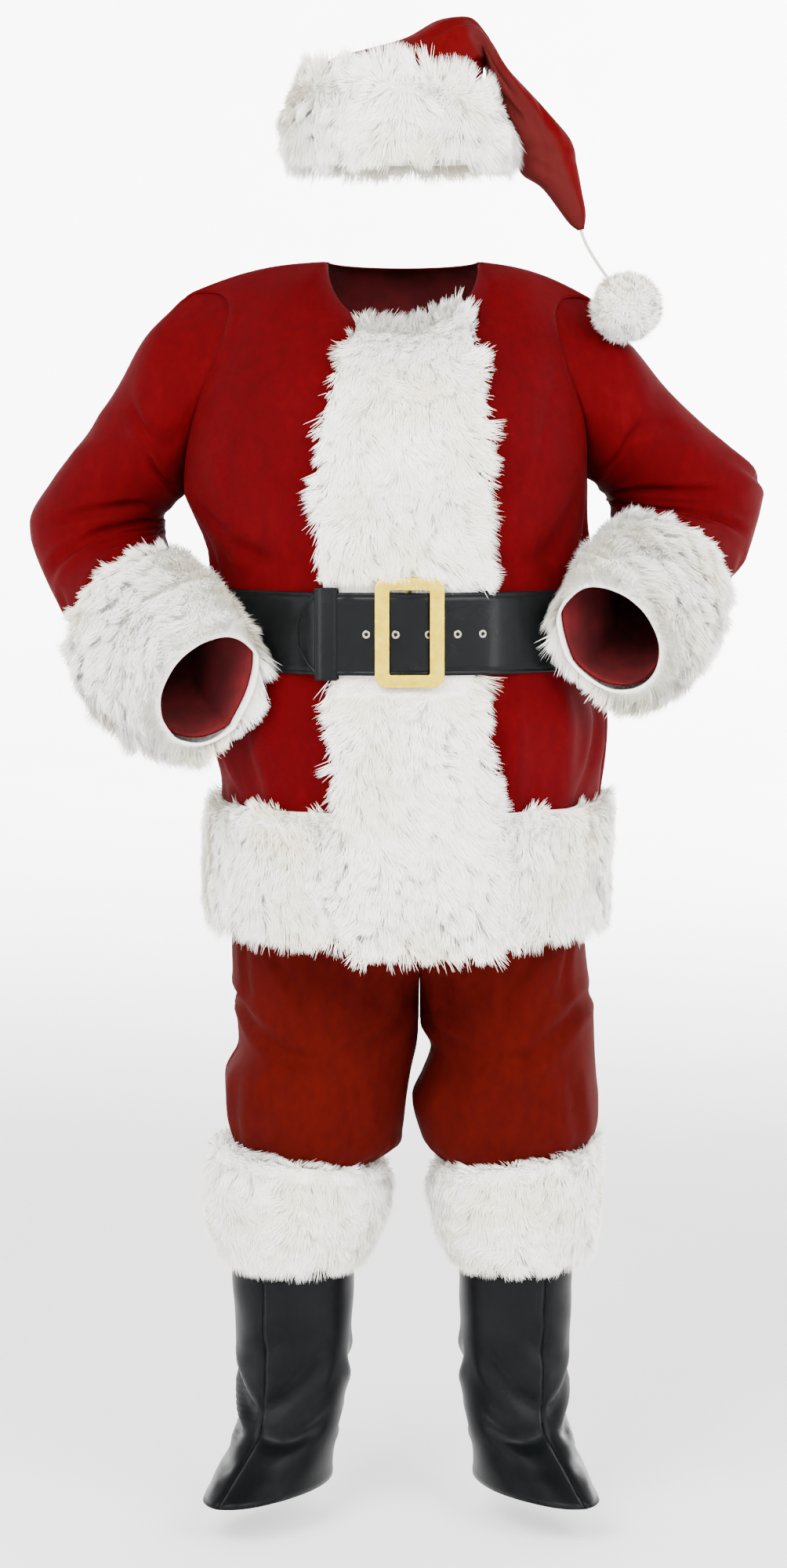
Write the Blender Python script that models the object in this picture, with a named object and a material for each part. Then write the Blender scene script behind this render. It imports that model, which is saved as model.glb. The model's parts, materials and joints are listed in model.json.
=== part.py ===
"""A Santa suit as worn: velvet jacket, knee trousers, hat, wide belt and boot tops, with long-pile trim.

Metres, +Z up. The front faces -Y and +X is the wearer's left. Heights in the tables are above the
floor, and HOLD is the height of the shoulders that carry the jacket, which is the model's origin.
Every piece is a wall between a grid of outer points and a grid of inner points. A grid is worked out
from a table of sections, so pieces that meet at a seam share its points and lie SEAM apart.
"""

import bmesh
import bpy
import numpy as np

HOLD = 1.500
SEAM = 0.0003
CLOTH = 0.0020
VINYL = 0.0016
SQUARENESS = 2.3  # exponent of the body's sections; 2 is an ellipse

COLLECTION = "santa_suit"
FINISHES = {
    "jacket_velvet": ((0.235, 0.008, 0.013), 0.80, 0.0),
    "trouser_velvet": ((0.160, 0.007, 0.006), 0.80, 0.0),
    "hat_velvet": ((0.290, 0.009, 0.011), 0.75, 0.0),
    "white_pile": ((0.830, 0.820, 0.780), 0.90, 0.0),
    "belt_vinyl": ((0.012, 0.013, 0.014), 0.35, 0.0),
    "boot_vinyl": ((0.021, 0.023, 0.024), 0.45, 0.0),
    "gold_plate": ((0.760, 0.600, 0.210), 0.30, 1.0),
    "nickel_plate": ((0.600, 0.590, 0.560), 0.25, 1.0),
    "white_cord": ((0.800, 0.790, 0.760), 0.80, 0.0),
}


def table(columns, *rows):
    """Named columns of a short table."""
    data = np.array(rows, float)
    return {name: data[:, i] for i, name in enumerate(columns.split())}


def follow(x, xs, ys):
    """A smooth curve through (xs, ys): cubic pieces whose slopes are those of the neighbours' chords."""
    x, xs, ys = np.asarray(x, float), np.asarray(xs, float), np.asarray(ys, float)
    chords = np.diff(ys) / np.diff(xs)
    slopes = np.concatenate([chords[:1], (chords[1:] + chords[:-1]) / 2, chords[-1:]])
    flat = np.concatenate([[False], chords[1:] * chords[:-1] <= 0, [False]])
    slopes[flat] = 0.0
    k = np.clip(np.searchsorted(xs, x, side="right") - 1, 0, len(xs) - 2)
    span = xs[k + 1] - xs[k]
    t = np.clip((x - xs[k]) / span, 0.0, 1.0)
    return (
        ys[k] * (1 + 2 * t) * (1 - t) ** 2
        + slopes[k] * span * t * (1 - t) ** 2
        + ys[k + 1] * t**2 * (3 - 2 * t)
        + slopes[k + 1] * span * t**2 * (t - 1)
    )


def ease(x):
    """0 below 0, 1 above 1, and a smooth step between."""
    x = np.clip(x, 0.0, 1.0)
    return x * x * (3 - 2 * x)


def unit(v):
    return v / np.maximum(np.linalg.norm(v, axis=-1, keepdims=True), 1e-12)


def power(x, exponent):
    return np.sign(x) * np.abs(x) ** exponent


# ---------------------------------------------------------------- solids from grids


def grid_faces(rows, columns, wrap):
    """Two triangles for each cell of a grid, all cut by the same diagonal, so that layers nest."""
    across = columns if wrap else columns - 1
    r, c = np.meshgrid(np.arange(rows - 1), np.arange(across), indexing="ij")
    low, high = (r * columns).ravel(), ((r + 1) * columns).ravel()
    here, beside = c.ravel(), (c.ravel() + 1) % columns
    return np.concatenate([
        np.stack([low + here, low + beside, high + beside], axis=1),
        np.stack([low + here, high + beside, high + here], axis=1),
    ])


def wall(name, outer, inner, finish, wrap=False):
    """One closed solid between an outer and an inner grid of the same size, with rims round its edges."""
    rows, columns = outer.shape[:2]
    skin = grid_faces(rows, columns, wrap)
    offset = rows * columns
    index = np.arange(offset).reshape(rows, columns)
    loops = [(index[0], wrap), (index[-1], wrap)]
    if not wrap:
        loops += [(index[:, 0], False), (index[:, -1], False)]
    rims = []
    for line, closed in loops:
        a, b = (line, np.roll(line, -1)) if closed else (line[:-1], line[1:])
        rims += [np.stack([a, b, b + offset], axis=1), np.stack([a, b + offset, a + offset], axis=1)]
    points = np.concatenate([outer.reshape(-1, 3), inner.reshape(-1, 3)])
    faces = np.concatenate([skin, skin[:, ::-1] + offset, *rims])
    return add_mesh(name, points, faces.tolist(), finish)


def add_mesh(name, points, faces, finish):
    """A smooth-shaded object from points at heights above the floor, with its faces turned outwards."""
    mesh = bpy.data.meshes.new(name)
    lowered = np.array(points, float) - (0.0, 0.0, HOLD)
    mesh.from_pydata(lowered.tolist(), [], faces)
    shape = bmesh.new()
    shape.from_mesh(mesh)
    bmesh.ops.recalc_face_normals(shape, faces=shape.faces)
    if shape.calc_volume(signed=True) < 0:
        bmesh.ops.reverse_faces(shape, faces=shape.faces)
    shape.to_mesh(mesh)
    shape.free()
    mesh.shade_smooth()
    return add_object(name, mesh, finish)


def add_object(name, mesh, finish):
    piece = bpy.data.objects.new(name, mesh)
    bpy.data.collections[COLLECTION].objects.link(piece)
    mesh.materials.append(material(finish))
    return piece


def material(finish):
    """The Principled material of that name, made once."""
    found = bpy.data.materials.get(finish)
    if found:
        return found
    colour, roughness, metallic = FINISHES[finish]
    made = bpy.data.materials.new(finish)
    made.use_nodes = True
    shader = made.node_tree.nodes["Principled BSDF"]
    shader.inputs["Base Color"].default_value = (*colour, 1.0)
    shader.inputs["Roughness"].default_value = roughness
    shader.inputs["Metallic"].default_value = metallic
    return made


def part_edges(outer, inner, sides, gap=SEAM / 2):
    """Draws the named edges of both grids back from their seams by gap."""
    moves = {"left": (np.s_[:, 0], np.s_[:, 1]), "right": (np.s_[:, -1], np.s_[:, -2]),
             "bottom": (np.s_[0], np.s_[1]), "top": (np.s_[-1], np.s_[-2])}
    outer, inner = outer.copy(), inner.copy()
    for side in sides.split():
        edge, neighbour = moves[side]
        step = gap * unit(outer[neighbour] - outer[edge])
        outer[edge] += step
        inner[edge] += step
    return outer, inner


def grid_normals(points, wrap):
    """Unit normals of a grid: at each point, the mean of the normals of the cells round it."""
    beside = np.roll(points, -1, axis=1) if wrap else points[:, 1:]
    here = points if wrap else points[:, :-1]
    cells = unit(np.cross(beside[1:] - here[:-1], here[1:] - beside[:-1]))
    cells = np.pad(cells, ((1, 1), (0, 0), (0, 0)))
    cells = cells + np.roll(cells, 1, axis=1) if wrap else np.pad(cells, ((0, 0), (1, 1), (0, 0)))
    if not wrap:
        cells = cells[:, :-1] + cells[:, 1:]
    return unit(cells[:-1] + cells[1:])


def outward(points):
    """Normals of a tube's grid that point away from its middle line."""
    normals = grid_normals(points, True)
    from_middle = points - points.mean(axis=1, keepdims=True)
    return normals * np.sign(np.sum(normals * from_middle, axis=(1, 2)))[:, None, None]


# ---------------------------------------------------------------- jacket body

ARMPIT = 1.268
JACKET = table(
    "height left right front back",
    (0.700, -0.2190, 0.2290, 0.238, 0.172),
    (0.800, -0.2200, 0.2300, 0.242, 0.173),
    (0.907, -0.2190, 0.2380, 0.246, 0.175),
    (0.985, -0.2350, 0.2450, 0.253, 0.178),
    (1.045, -0.2330, 0.2340, 0.241, 0.165),
    (1.160, -0.2330, 0.2340, 0.241, 0.165),
    (1.205, -0.2380, 0.2230, 0.243, 0.168),
    (1.268, -0.2625, 0.2215, 0.218, 0.166),
)
ARMPIT_SLOPE = 0.039  # the wearer's left armpit is the higher one
BELT_TOP = 1.160

NECK_HALF_WIDTH, NECK_HEIGHT, NECK_FORE_AFT = 0.090, 1.537, 0.018
NECK_FRONT, NECK_FRONT_HEIGHT = -0.098, 1.450
NECK_BACK, NECK_BACK_HEIGHT = 0.092, 1.532
NECK_ANGLE = np.radians(40)  # the part of a quarter turn that the neckline takes
NECK_CORNER = (NECK_HALF_WIDTH, NECK_FORE_AFT, NECK_HEIGHT)  # where the neckline meets the shoulder seam
SHOULDER_TIP = {-1: (-0.262, 0.012, 1.4965), 1: (0.232, 0.012, 1.489)}
SHOULDER_ARCH = 0.010  # rise of the shoulder seam over the straight line between its ends
SHOULDER_REACH = 0.070  # of the curve that brings the chest in to the shoulder seam
SHOULDER_DROP = 0.010  # how far below the seam that curve's last handle lies
CHEST_CLIMB, CHEST_SPREAD = 0.62, 0.04  # of its first handle: share of the rise, and outwards
SEAM_UP, SEAM_ASIDE = 0.94, 0.34  # the shoulder seam's normal
ARMHOLE_ANGLE = np.radians(27)  # how far the armhole cuts into each panel
BODY_ROWS = np.array([
    0.742, 0.757, 0.820, 0.885, 0.903, 0.950, 0.998, 1.025, 1.045, 1.160, 1.182, 1.210, 1.240,
])
BAND_ROWS = 5  # the rows that the hem band covers
RISE = np.array([0.0, 0.07, 0.18, 0.32, 0.50, 0.68, 0.82, 0.93, 1.0])  # rows from armpit to shoulder


def jacket_section(theta, height):
    """A closed section of the jacket at a height: a squared ellipse, deeper in front than behind."""
    left, right = (follow(height, JACKET["height"], JACKET[side]) for side in ("left", "right"))
    front, back = (follow(height, JACKET["height"], JACKET[side]) for side in ("front", "back"))
    exponent = 2 / SQUARENESS
    x = (left + right) / 2 + (right - left) / 2 * power(np.sin(theta), exponent)
    c = np.cos(theta)
    y = -np.where(c > 0, front, back) * power(c, exponent)
    lift = ARMPIT_SLOPE * x * ease((height - BELT_TOP) / (ARMPIT - BELT_TOP))
    return np.stack(np.broadcast_arrays(x, y, height + lift), axis=-1)


def jacket_top(theta):
    """The upper edge of the panels: round the neck first, then along the shoulder seam to its tip."""
    turn = np.abs(theta)
    side = np.where(theta < 0, -1.0, 1.0)
    ahead = turn <= np.pi / 2
    turn = np.where(ahead, turn, np.pi - turn)
    around = np.clip(turn / NECK_ANGLE, 0, 1) * np.pi / 2
    reach = np.where(ahead, NECK_FRONT, NECK_BACK) - NECK_FORE_AFT
    low = np.where(ahead, NECK_FRONT_HEIGHT, NECK_BACK_HEIGHT)
    neck = np.stack([side * NECK_HALF_WIDTH * np.sin(around), NECK_FORE_AFT + reach * np.cos(around),
                     low + (NECK_HEIGHT - low) * (1 - np.cos(around))], axis=-1)
    along = np.clip((turn - NECK_ANGLE) / (np.pi / 2 - NECK_ANGLE), 0, 1)[..., None]
    tip = np.where(side[..., None] < 0, SHOULDER_TIP[-1], SHOULDER_TIP[1])
    corner = np.stack([side * NECK_CORNER[0], 0 * side + NECK_CORNER[1], 0 * side + NECK_CORNER[2]], axis=-1)
    seam = corner + (tip - corner) * along
    seam[..., 2] += SHOULDER_ARCH * np.sin(np.pi * along[..., 0])
    return np.where(along > 0, seam, neck)


def jacket_point(theta, v):
    """The jacket's outer surface. v is a height up to the armpit, then ARMPIT plus 0 to 1 up to the
    neckline and shoulder seam, along a curve that leaves the chest upwards and arrives level."""
    theta, v = np.broadcast_arrays(np.asarray(theta, float), np.asarray(v, float))
    low = jacket_section(theta, np.minimum(v, ARMPIT))
    start = jacket_section(theta, np.full_like(theta, ARMPIT))
    end = jacket_top(theta)
    s = np.clip(v - ARMPIT, 0, 1)[..., None]
    climb = (end[..., 2:] - start[..., 2:]) * CHEST_CLIMB
    first = start + np.concatenate([start[..., :2] * CHEST_SPREAD, climb], axis=-1)
    turn = np.cos(theta)[..., None]
    reach = SHOULDER_REACH * (0.7 + 0.3 * np.abs(turn))
    outwards = np.concatenate([unit(start[..., :2])[..., :1] * 0.25, -power(turn, 0.4)], axis=-1)
    second = end + np.concatenate([outwards * reach, 0 * climb - SHOULDER_DROP], axis=-1)
    high = start * (1 - s) ** 3 + 3 * first * s * (1 - s) ** 2 + 3 * second * s**2 * (1 - s) + end * s**3
    return np.where(s > 0, high, low)


def jacket_normal(theta, v):
    """Outward unit normals of the jacket, by small differences."""
    d = 1e-3
    theta, v = np.broadcast_arrays(np.asarray(theta, float), np.asarray(v, float))
    read = np.minimum(v, ARMPIT + 0.92)
    up = jacket_point(theta, read + d) - jacket_point(theta, read - d)
    across = jacket_point(theta + d, read) - jacket_point(theta - d, read)
    normal = unit(np.cross(across, up))
    level = np.stack([np.sign(theta) * SEAM_ASIDE, 0 * theta, 0 * theta + SEAM_UP], axis=-1)
    turn = np.minimum(np.abs(theta), np.pi - np.abs(theta))
    on_seam = ease((v - ARMPIT - 0.90) / 0.10) * ease((turn - 0.85 * NECK_ANGLE) / (0.15 * NECK_ANGLE))
    return unit(normal * (1 - on_seam[..., None]) + level * on_seam[..., None])


def on_jacket(theta, v, out):
    """Points of the jacket moved out along its normals."""
    return jacket_point(theta, v) + jacket_normal(theta, v) * np.asarray(out)[..., None]


STRIP_CELLS, SIDE_CELLS, BACK_CELLS = 3, 5, 14  # cells across half the strip, a front beside it, the back


def armhole_inset():
    """The angle that the armhole cuts off a panel at each row above the armpit: wide below, narrow above."""
    return ARMHOLE_ANGLE * np.sin(np.pi * RISE) ** np.where(RISE < 0.5, 0.7, 1.4)


def body_levels():
    """The rows of every body panel, and how far the armhole cuts into each."""
    cut = np.concatenate([np.zeros(len(BODY_ROWS)), armhole_inset()])
    return np.concatenate([BODY_ROWS, ARMPIT + RISE]), cut


def front_columns(v, side_edge):
    """Angles across both fronts, left to right: side, strip edge, centre, strip edge, side. One column
    of each side moves to the neck's corner on the way up."""
    half = np.linspace(0, 1, STRIP_CELLS + 1)[None, :]
    left, right = strip_edge(v, -1)[:, None], strip_edge(v, 1)[:, None]
    side, rise = side_edge[:, None], ease(v - ARMPIT)[:, None]

    def beside(edge):
        even = edge + (side - edge) * 2 / SIDE_CELLS
        corner = even + (NECK_ANGLE - even) * rise
        share = np.linspace(0, 1, SIDE_CELLS - 1)[None, :]
        return np.concatenate([edge, (edge + corner) / 2, corner + (side - corner) * share], axis=1)

    strip = [left * (1 - half[:, 1:-1]), 0 * left, right * half[:, 1:-1]]
    return np.concatenate([-beside(-left)[:, ::-1], *strip, beside(right)], axis=1)


def back_columns(side_edge):
    """Angles across the back, from the wearer's left side seam round to the right one."""
    return (np.pi - side_edge)[:, None] + 2 * side_edge[:, None] * np.linspace(0, 1, BACK_CELLS + 1)[None, :]


def whole_turn(theta):
    """Angles brought between minus and plus half a turn."""
    return np.where(theta > np.pi, theta - 2 * np.pi, theta)


def make_jacket_body():
    v, inset = body_levels()
    front, back = front_columns(v, np.pi / 2 - inset), back_columns(np.pi / 2 - inset)
    middle = SIDE_CELLS + STRIP_CELLS
    panels = (("jacket_front_right", front[:, : middle + 1]), ("jacket_front_left", front[:, middle:]),
              ("jacket_back", back))
    for name, theta in panels:
        theta = whole_turn(theta)
        level = np.broadcast_to(v[:, None], theta.shape)
        outer, inner = on_jacket(theta, level, 0 * level), on_jacket(theta, level, 0 * level - CLOTH)
        wall(name, *part_edges(outer, inner, "left right top"), "jacket_velvet")


# ---------------------------------------------------------------- sleeves and their cuffs

SLEEVE_RIGHT = table(
    "outer_x outer_h inner_x inner_h y depth lean",
    (-0.3060, 1.4500, -0.2700, 1.2515, 0.004, 0.086, 0),
    (-0.3400, 1.3900, -0.2790, 1.2420, 0.010, 0.084, 0),
    (-0.3830, 1.3300, -0.2860, 1.2345, 0.020, 0.081, 0),
    (-0.4260, 1.2740, -0.2885, 1.2260, 0.030, 0.080, 0),
    (-0.4520, 1.2230, -0.2890, 1.2150, 0.032, 0.082, 0),
    (-0.4420, 1.1740, -0.2840, 1.2020, 0.020, 0.080, 10),
    (-0.4160, 1.1260, -0.2750, 1.1860, -0.015, 0.077, 25),
    (-0.3680, 1.0770, -0.2560, 1.1640, -0.078, 0.072, 45),
    (-0.3240, 1.0230, -0.2120, 1.1250, -0.160, 0.063, 60),
    (-0.2560, 0.9820, -0.1740, 1.0840, -0.232, 0.054, 63),
)
SLEEVE_LEFT = table(
    "outer_x outer_h inner_x inner_h y depth lean",
    (0.2800, 1.4310, 0.2290, 1.2715, 0.004, 0.086, 0),
    (0.3160, 1.3860, 0.2360, 1.2640, 0.010, 0.084, 0),
    (0.3600, 1.3430, 0.2430, 1.2570, 0.020, 0.081, 0),
    (0.4220, 1.2900, 0.2475, 1.2490, 0.030, 0.080, 0),
    (0.4350, 1.2510, 0.2510, 1.2400, 0.032, 0.082, 0),
    (0.4270, 1.2130, 0.2520, 1.2280, 0.020, 0.080, 10),
    (0.4060, 1.1720, 0.2550, 1.2240, -0.015, 0.077, 25),
    (0.3570, 1.1220, 0.2470, 1.2040, -0.078, 0.072, 45),
    (0.3160, 1.0770, 0.2160, 1.1740, -0.160, 0.063, 60),
    (0.2740, 1.0460, 0.1880, 1.1400, -0.232, 0.054, 63),
)
SLEEVE_CLEAR = (-0.05, -0.05, -0.02, 0.0, 0.004, 0.008, 0.012, 0.020, 0.026, 0.026)  # off the jacket, by row
FOLD_WIDTH = 0.45  # of an elbow fold, in stations
ELBOW_FOLDS = table(
    "station angle reach depth",
    (3.6, 100, 24, 0.005),
    (5.4, 105, 22, 0.006),
    (7.4, 60, 24, 0.006),
)
TIP_GAP = 2.5  # seams at the shoulder's tip, where three pieces meet
RING_ANGLES = np.concatenate([np.linspace(np.pi, 0, 9), -np.linspace(0, np.pi, 9)[1:-1]])


def section_rings(t, angles):
    """Rings through a table's edge points: angle 0 is the outer edge, 90 degrees the front, which lean
    raises back along the tube."""
    outer_edge = np.stack([t["outer_x"], t["y"], t["outer_h"]], axis=-1)
    inner_edge = np.stack([t["inner_x"], t["y"], t["inner_h"]], axis=-1)
    centre, half = (outer_edge + inner_edge) / 2, (outer_edge - inner_edge) / 2
    back_along = unit(np.cross(half, (0.0, -1.0, 0.0)))
    back_along *= -np.sign(np.sum(back_along * np.gradient(centre, axis=0), axis=-1, keepdims=True))
    lean = np.radians(t.get("lean", np.zeros(len(half))))[:, None]
    across = np.cos(lean) * (0.0, -1.0, 0.0) + np.sin(lean) * back_along
    c, s = np.cos(angles)[..., None], np.sin(angles)[..., None]
    return centre[:, None] + half[:, None] * c + (across * t["depth"][:, None])[:, None] * s


def armhole(side):
    """Outer points of the armhole and steps away from the panels, in the order of RING_ANGLES."""
    inset = armhole_inset()
    theta = side * np.concatenate([np.pi / 2 - inset, np.pi / 2 + inset[::-1][1:-1]])
    v = ARMPIT + np.concatenate([RISE, RISE[::-1][1:-1]])
    points = jacket_point(theta, v)
    along = np.roll(points, -1, axis=0) - np.roll(points, 1, axis=0)
    step = unit(np.cross(along, jacket_normal(theta, v)))
    seam = jacket_point(theta * 0 + side * np.pi / 2, v)
    step *= np.sign(np.sum(step * (seam - points), axis=-1, keepdims=True))
    step[0] = (0.0, 0.0, 1.0)
    tip = len(RISE) - 1
    step[tip] = (1.6 * side, 0.0, -0.6)
    step[tip - 1 : tip + 2] *= TIP_GAP
    return points, step


def off_body(points, margin):
    """Points moved out from the jacket's middle line until they clear its sections by a margin."""
    sides = {name: follow(points[..., 2], JACKET["height"], JACKET[name]) for name in JACKET}
    centre, half = (sides["left"] + sides["right"]) / 2, (sides["right"] - sides["left"]) / 2
    depth = np.where(points[..., 1] < 0, sides["front"], sides["back"])
    x, y = (points[..., 0] - centre) / half, points[..., 1] / depth
    size = (np.abs(x) ** SQUARENESS + np.abs(y) ** SQUARENESS) ** (1 / SQUARENESS)
    grow = np.maximum((1 + margin / half) / size, 1)
    return np.stack([centre + x * half * grow, y * depth * grow, points[..., 2]], axis=-1)


def elbow_creases(rings, stations):
    """Troughs across the front of the elbow, by how far each ring point is drawn to its centre."""
    centre = rings.mean(axis=1, keepdims=True)
    degrees = np.degrees(RING_ANGLES)[None, :] % 360
    pull = np.zeros((len(stations), len(RING_ANGLES)))
    for station, angle, reach, depth in zip(*ELBOW_FOLDS.values()):
        along, around = (stations[:, None] - station) / FOLD_WIDTH, (degrees - angle) / reach
        pull += depth * np.exp(-(along**2) - around**2)
    return rings + unit(centre - rings) * pull[..., None]


CUFF = table(
    "station right left",
    (8.00, 0.010, 0.010),
    (8.25, 0.034, 0.032),
    (8.60, 0.043, 0.040),
    (9.00, 0.046, 0.043),
    (9.60, 0.044, 0.042),
    (10.0, 0.026, 0.026),
)
SLEEVE_STATIONS = np.concatenate([np.arange(8), CUFF["station"]])  # 0 is the armhole, 10 the sleeve's end
CUFF_PRESSED = 0.30  # share of the pile left where a cuff lies against the body
CUFF_CLEAR = 0.0095  # from the jacket, which leaves room for the belt


def between_rows(grid, station):
    """A grid's rows read at fractional row numbers."""
    k = np.minimum(station.astype(int), len(grid) - 2)
    t = (station - k)[:, None, None]
    return grid[k] * (1 - t) + grid[k + 1] * t


def sleeve_grid(side):
    """Outer and inner points of a sleeve and its normals, from the armhole to the cuff's edge."""
    start, step = armhole(side)
    rings = section_rings(SLEEVE_RIGHT if side < 0 else SLEEVE_LEFT, RING_ANGLES)
    outer = between_rows(np.concatenate([(start + SEAM * step)[None], rings]), SLEEVE_STATIONS)
    clear = np.interp(SLEEVE_STATIONS[1:], np.arange(1, 11), SLEEVE_CLEAR)
    outer[1:] = off_body(outer[1:], clear[:, None])
    normals, step = outward(outer), unit(step)
    towards_panel = np.maximum(np.sum(normals[0] * step, axis=-1, keepdims=True), 0)
    normals[0] = unit(normals[0] - towards_panel * step)
    outer[1:] = elbow_creases(outer[1:], SLEEVE_STATIONS[1:])
    return outer, outer - CLOTH * normals, normals


FRONT_HALF, BACK_HALF = np.arange(9), np.arange(8, 17) % 16  # columns of a sleeve, as RING_ANGLES has them


def make_sleeves():
    """Two-piece sleeves, seamed along their outer and inner edges, and fur cuffs on their own last rings."""
    for side, word in ((-1, "right"), (1, "left")):
        outer, inner, normals = sleeve_grid(side)
        for half, columns in (("front", FRONT_HALF), ("back", BACK_HALF)):
            seamed = part_edges(outer[:, columns], inner[:, columns], "left right")
            wall(f"sleeve_{word}_{half}", *seamed, "jacket_velvet")
        rows = len(CUFF["station"])
        base, out = outer[-rows:], normals[-rows:]
        towards_body = np.clip(-side * out[..., 0] + 0.5 * out[..., 1], 0, 1)
        pile = CUFF[word][:, None] * (1 - (1 - CUFF_PRESSED) * ease(towards_body * 1.3))
        fur = off_body(base + out * pile[..., None], CUFF_CLEAR)
        wall(f"fur_cuff_{word}", fur, base + out * SEAM, "white_pile", wrap=True)


# ---------------------------------------------------------------- fur on the jacket

STRIP_END, STRIP_TOP = 0.728, 1.600
STRIP_EDGE, STRIP_NECK = 0.55, 0.45  # shares of the pile left at the strip's sides and at the neck
STRIP_PRESSED = 0.96  # share of the room under the belt that the strip fills
STRIP = table(
    "height left right pile",
    (STRIP_END, -0.0520, 0.1040, 0.016),
    (0.760, -0.0600, 0.1050, 0.026),
    (0.900, -0.0740, 0.1040, 0.028),
    (0.970, -0.0780, 0.0900, 0.028),
    (1.030, -0.0850, 0.0870, 0.022),
    (1.052, -0.0870, 0.0870, 0.0065),
    (1.153, -0.0930, 0.0900, 0.0065),
    (1.175, -0.0950, 0.0920, 0.022),
    (1.215, -0.0985, 0.0920, 0.027),
    (1.268, -0.0960, 0.0900, 0.026),
    (STRIP_TOP, -0.0960, 0.0900, 0.024),
)
BELT_EDGE_ROWS = (1.052, 1.153)  # rows of the strip alone, on the straight part of the jacket
HEM_BAND = table(
    "height pile",
    (0.742, 0.013),
    (0.757, 0.018),
    (0.820, 0.020),
    (0.885, 0.018),
    (0.903, 0.007),
)
BELT_BAND = (1.055, 1.150)
STRIP_UNDER_BELT = 0.0070


def strip_edge(height, side):
    """The jacket's angle at an edge of the front strip, found from its x on the section."""
    height = np.minimum(height, ARMPIT)
    left, right = (follow(height, JACKET["height"], JACKET[name]) for name in ("left", "right"))
    x = follow(height, STRIP["height"], STRIP["right" if side > 0 else "left"])
    share = (x - (left + right) / 2) / ((right - left) / 2)
    return np.arcsin(power(share, SQUARENESS / 2))


def make_front_strip():
    """The strip on the fronts' own points: below the hem, up to the belt, flat under it, and to the neck."""
    v = np.sort(np.concatenate([[STRIP_END], body_levels()[0], BELT_EDGE_ROWS]))
    middle = slice(SIDE_CELLS, SIDE_CELLS + 2 * STRIP_CELLS + 1)
    theta = front_columns(v, np.full(len(v), np.pi / 2))[:, middle]
    v = np.broadcast_to(v[:, None], theta.shape)
    across = np.sin(np.pi * np.linspace(0, 1, theta.shape[1]))
    pile = follow(np.minimum(v, STRIP_TOP), STRIP["height"], STRIP["pile"])
    pile = pile * (STRIP_EDGE + (1 - STRIP_EDGE) * across**0.6)
    pile = pile * np.where(v > ARMPIT + 0.98, STRIP_NECK, 1.0)
    belted = (v > BELT_BAND[0] - 0.005) & (v < BELT_BAND[1] + 0.005)
    pile = np.where(belted, STRIP_PRESSED * strip_under(jacket_point(theta, v)[..., 0]), pile)
    outer, inner = on_jacket(theta, v, pile), on_jacket(theta, v, 0 * v + SEAM)
    wall("fur_front_strip", *part_edges(outer, inner, "left right"), "white_pile")


def make_hem_band():
    """The band on the panels' own points, from one edge of the strip, round the back, to the other."""
    v, side = body_levels()[0][:BAND_ROWS], np.full(BAND_ROWS, np.pi / 2)
    front, back = front_columns(v, side), back_columns(side)
    left, right = front[:, SIDE_CELLS + 2 * STRIP_CELLS :], front[:, : SIDE_CELLS + 1] + 2 * np.pi
    theta = whole_turn(np.concatenate([left, back[:, 1:], right[:, 1:]], axis=1))
    v = np.broadcast_to(v[:, None], theta.shape)
    pile = follow(v, HEM_BAND["height"], HEM_BAND["pile"])
    outer, inner = on_jacket(theta, v, pile), on_jacket(theta, v, 0 * v + SEAM)
    wall("fur_hem_band", *part_edges(outer, inner, "left right"), "white_pile")


# ---------------------------------------------------------------- belt

BELT_THICK = 0.0035
BAR_ROOM = 0.0034  # between the belt's two layers, for the buckle's centre bar
KEEPER_X, KEEPER_WIDTH, KEEPER_HEIGHT, KEEPER_THICK = -0.084, 0.024, 0.107, 0.0022
TIP_X, BUCKLE_X = -0.117, 0.007
BELT_MIDDLE = sum(BELT_BAND) / 2


def belt_path(x):
    """Angle on the jacket's belt zone of a place at x on its front."""
    left, right = (follow(BELT_MIDDLE, JACKET["height"], JACKET[name]) for name in ("left", "right"))
    return np.arcsin(power((x - (left + right) / 2) / ((right - left) / 2), SQUARENESS / 2))


def strip_under(x):
    """The strip's depth where the belt presses it flat."""
    return STRIP_UNDER_BELT * (1 - ease((np.abs(x) - 0.075) / 0.075))


def belt_lift(x):
    """How far the belt's inner face stands off the jacket: over the strip, and over the keeper's back."""
    keeper = (KEEPER_THICK + 2 * SEAM) * (1 - ease((np.abs(x - KEEPER_X) - KEEPER_WIDTH / 2) / 0.020))
    return SEAM * 1.5 + strip_under(x) + keeper


def lap_lift(x):
    """What the outer layer adds: it climbs from the right over the strap's start and the centre bar."""
    bar = BAR_ROOM * np.exp(-(((x - BUCKLE_X) / 0.035) ** 4))
    return (BELT_THICK + SEAM + bar) * (1 - ease((x - 0.010) / 0.080))


def belt_frame(theta):
    """Points and normals of the jacket along the belt's middle line."""
    middle = np.full_like(theta, BELT_MIDDLE)
    normal = jacket_normal(theta, middle)
    normal[..., 2] = 0
    return jacket_point(theta, middle), unit(normal)


KEEPER_PLACES = KEEPER_X + KEEPER_WIDTH * np.array([0.5, 0.0, -0.5])
LAP_PLACES = np.array([-0.011, -0.029, -0.045, -0.058, *KEEPER_PLACES])
TIP_SHARES = np.array([0.80, 0.30])  # of the belt's height, at the last two places


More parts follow.
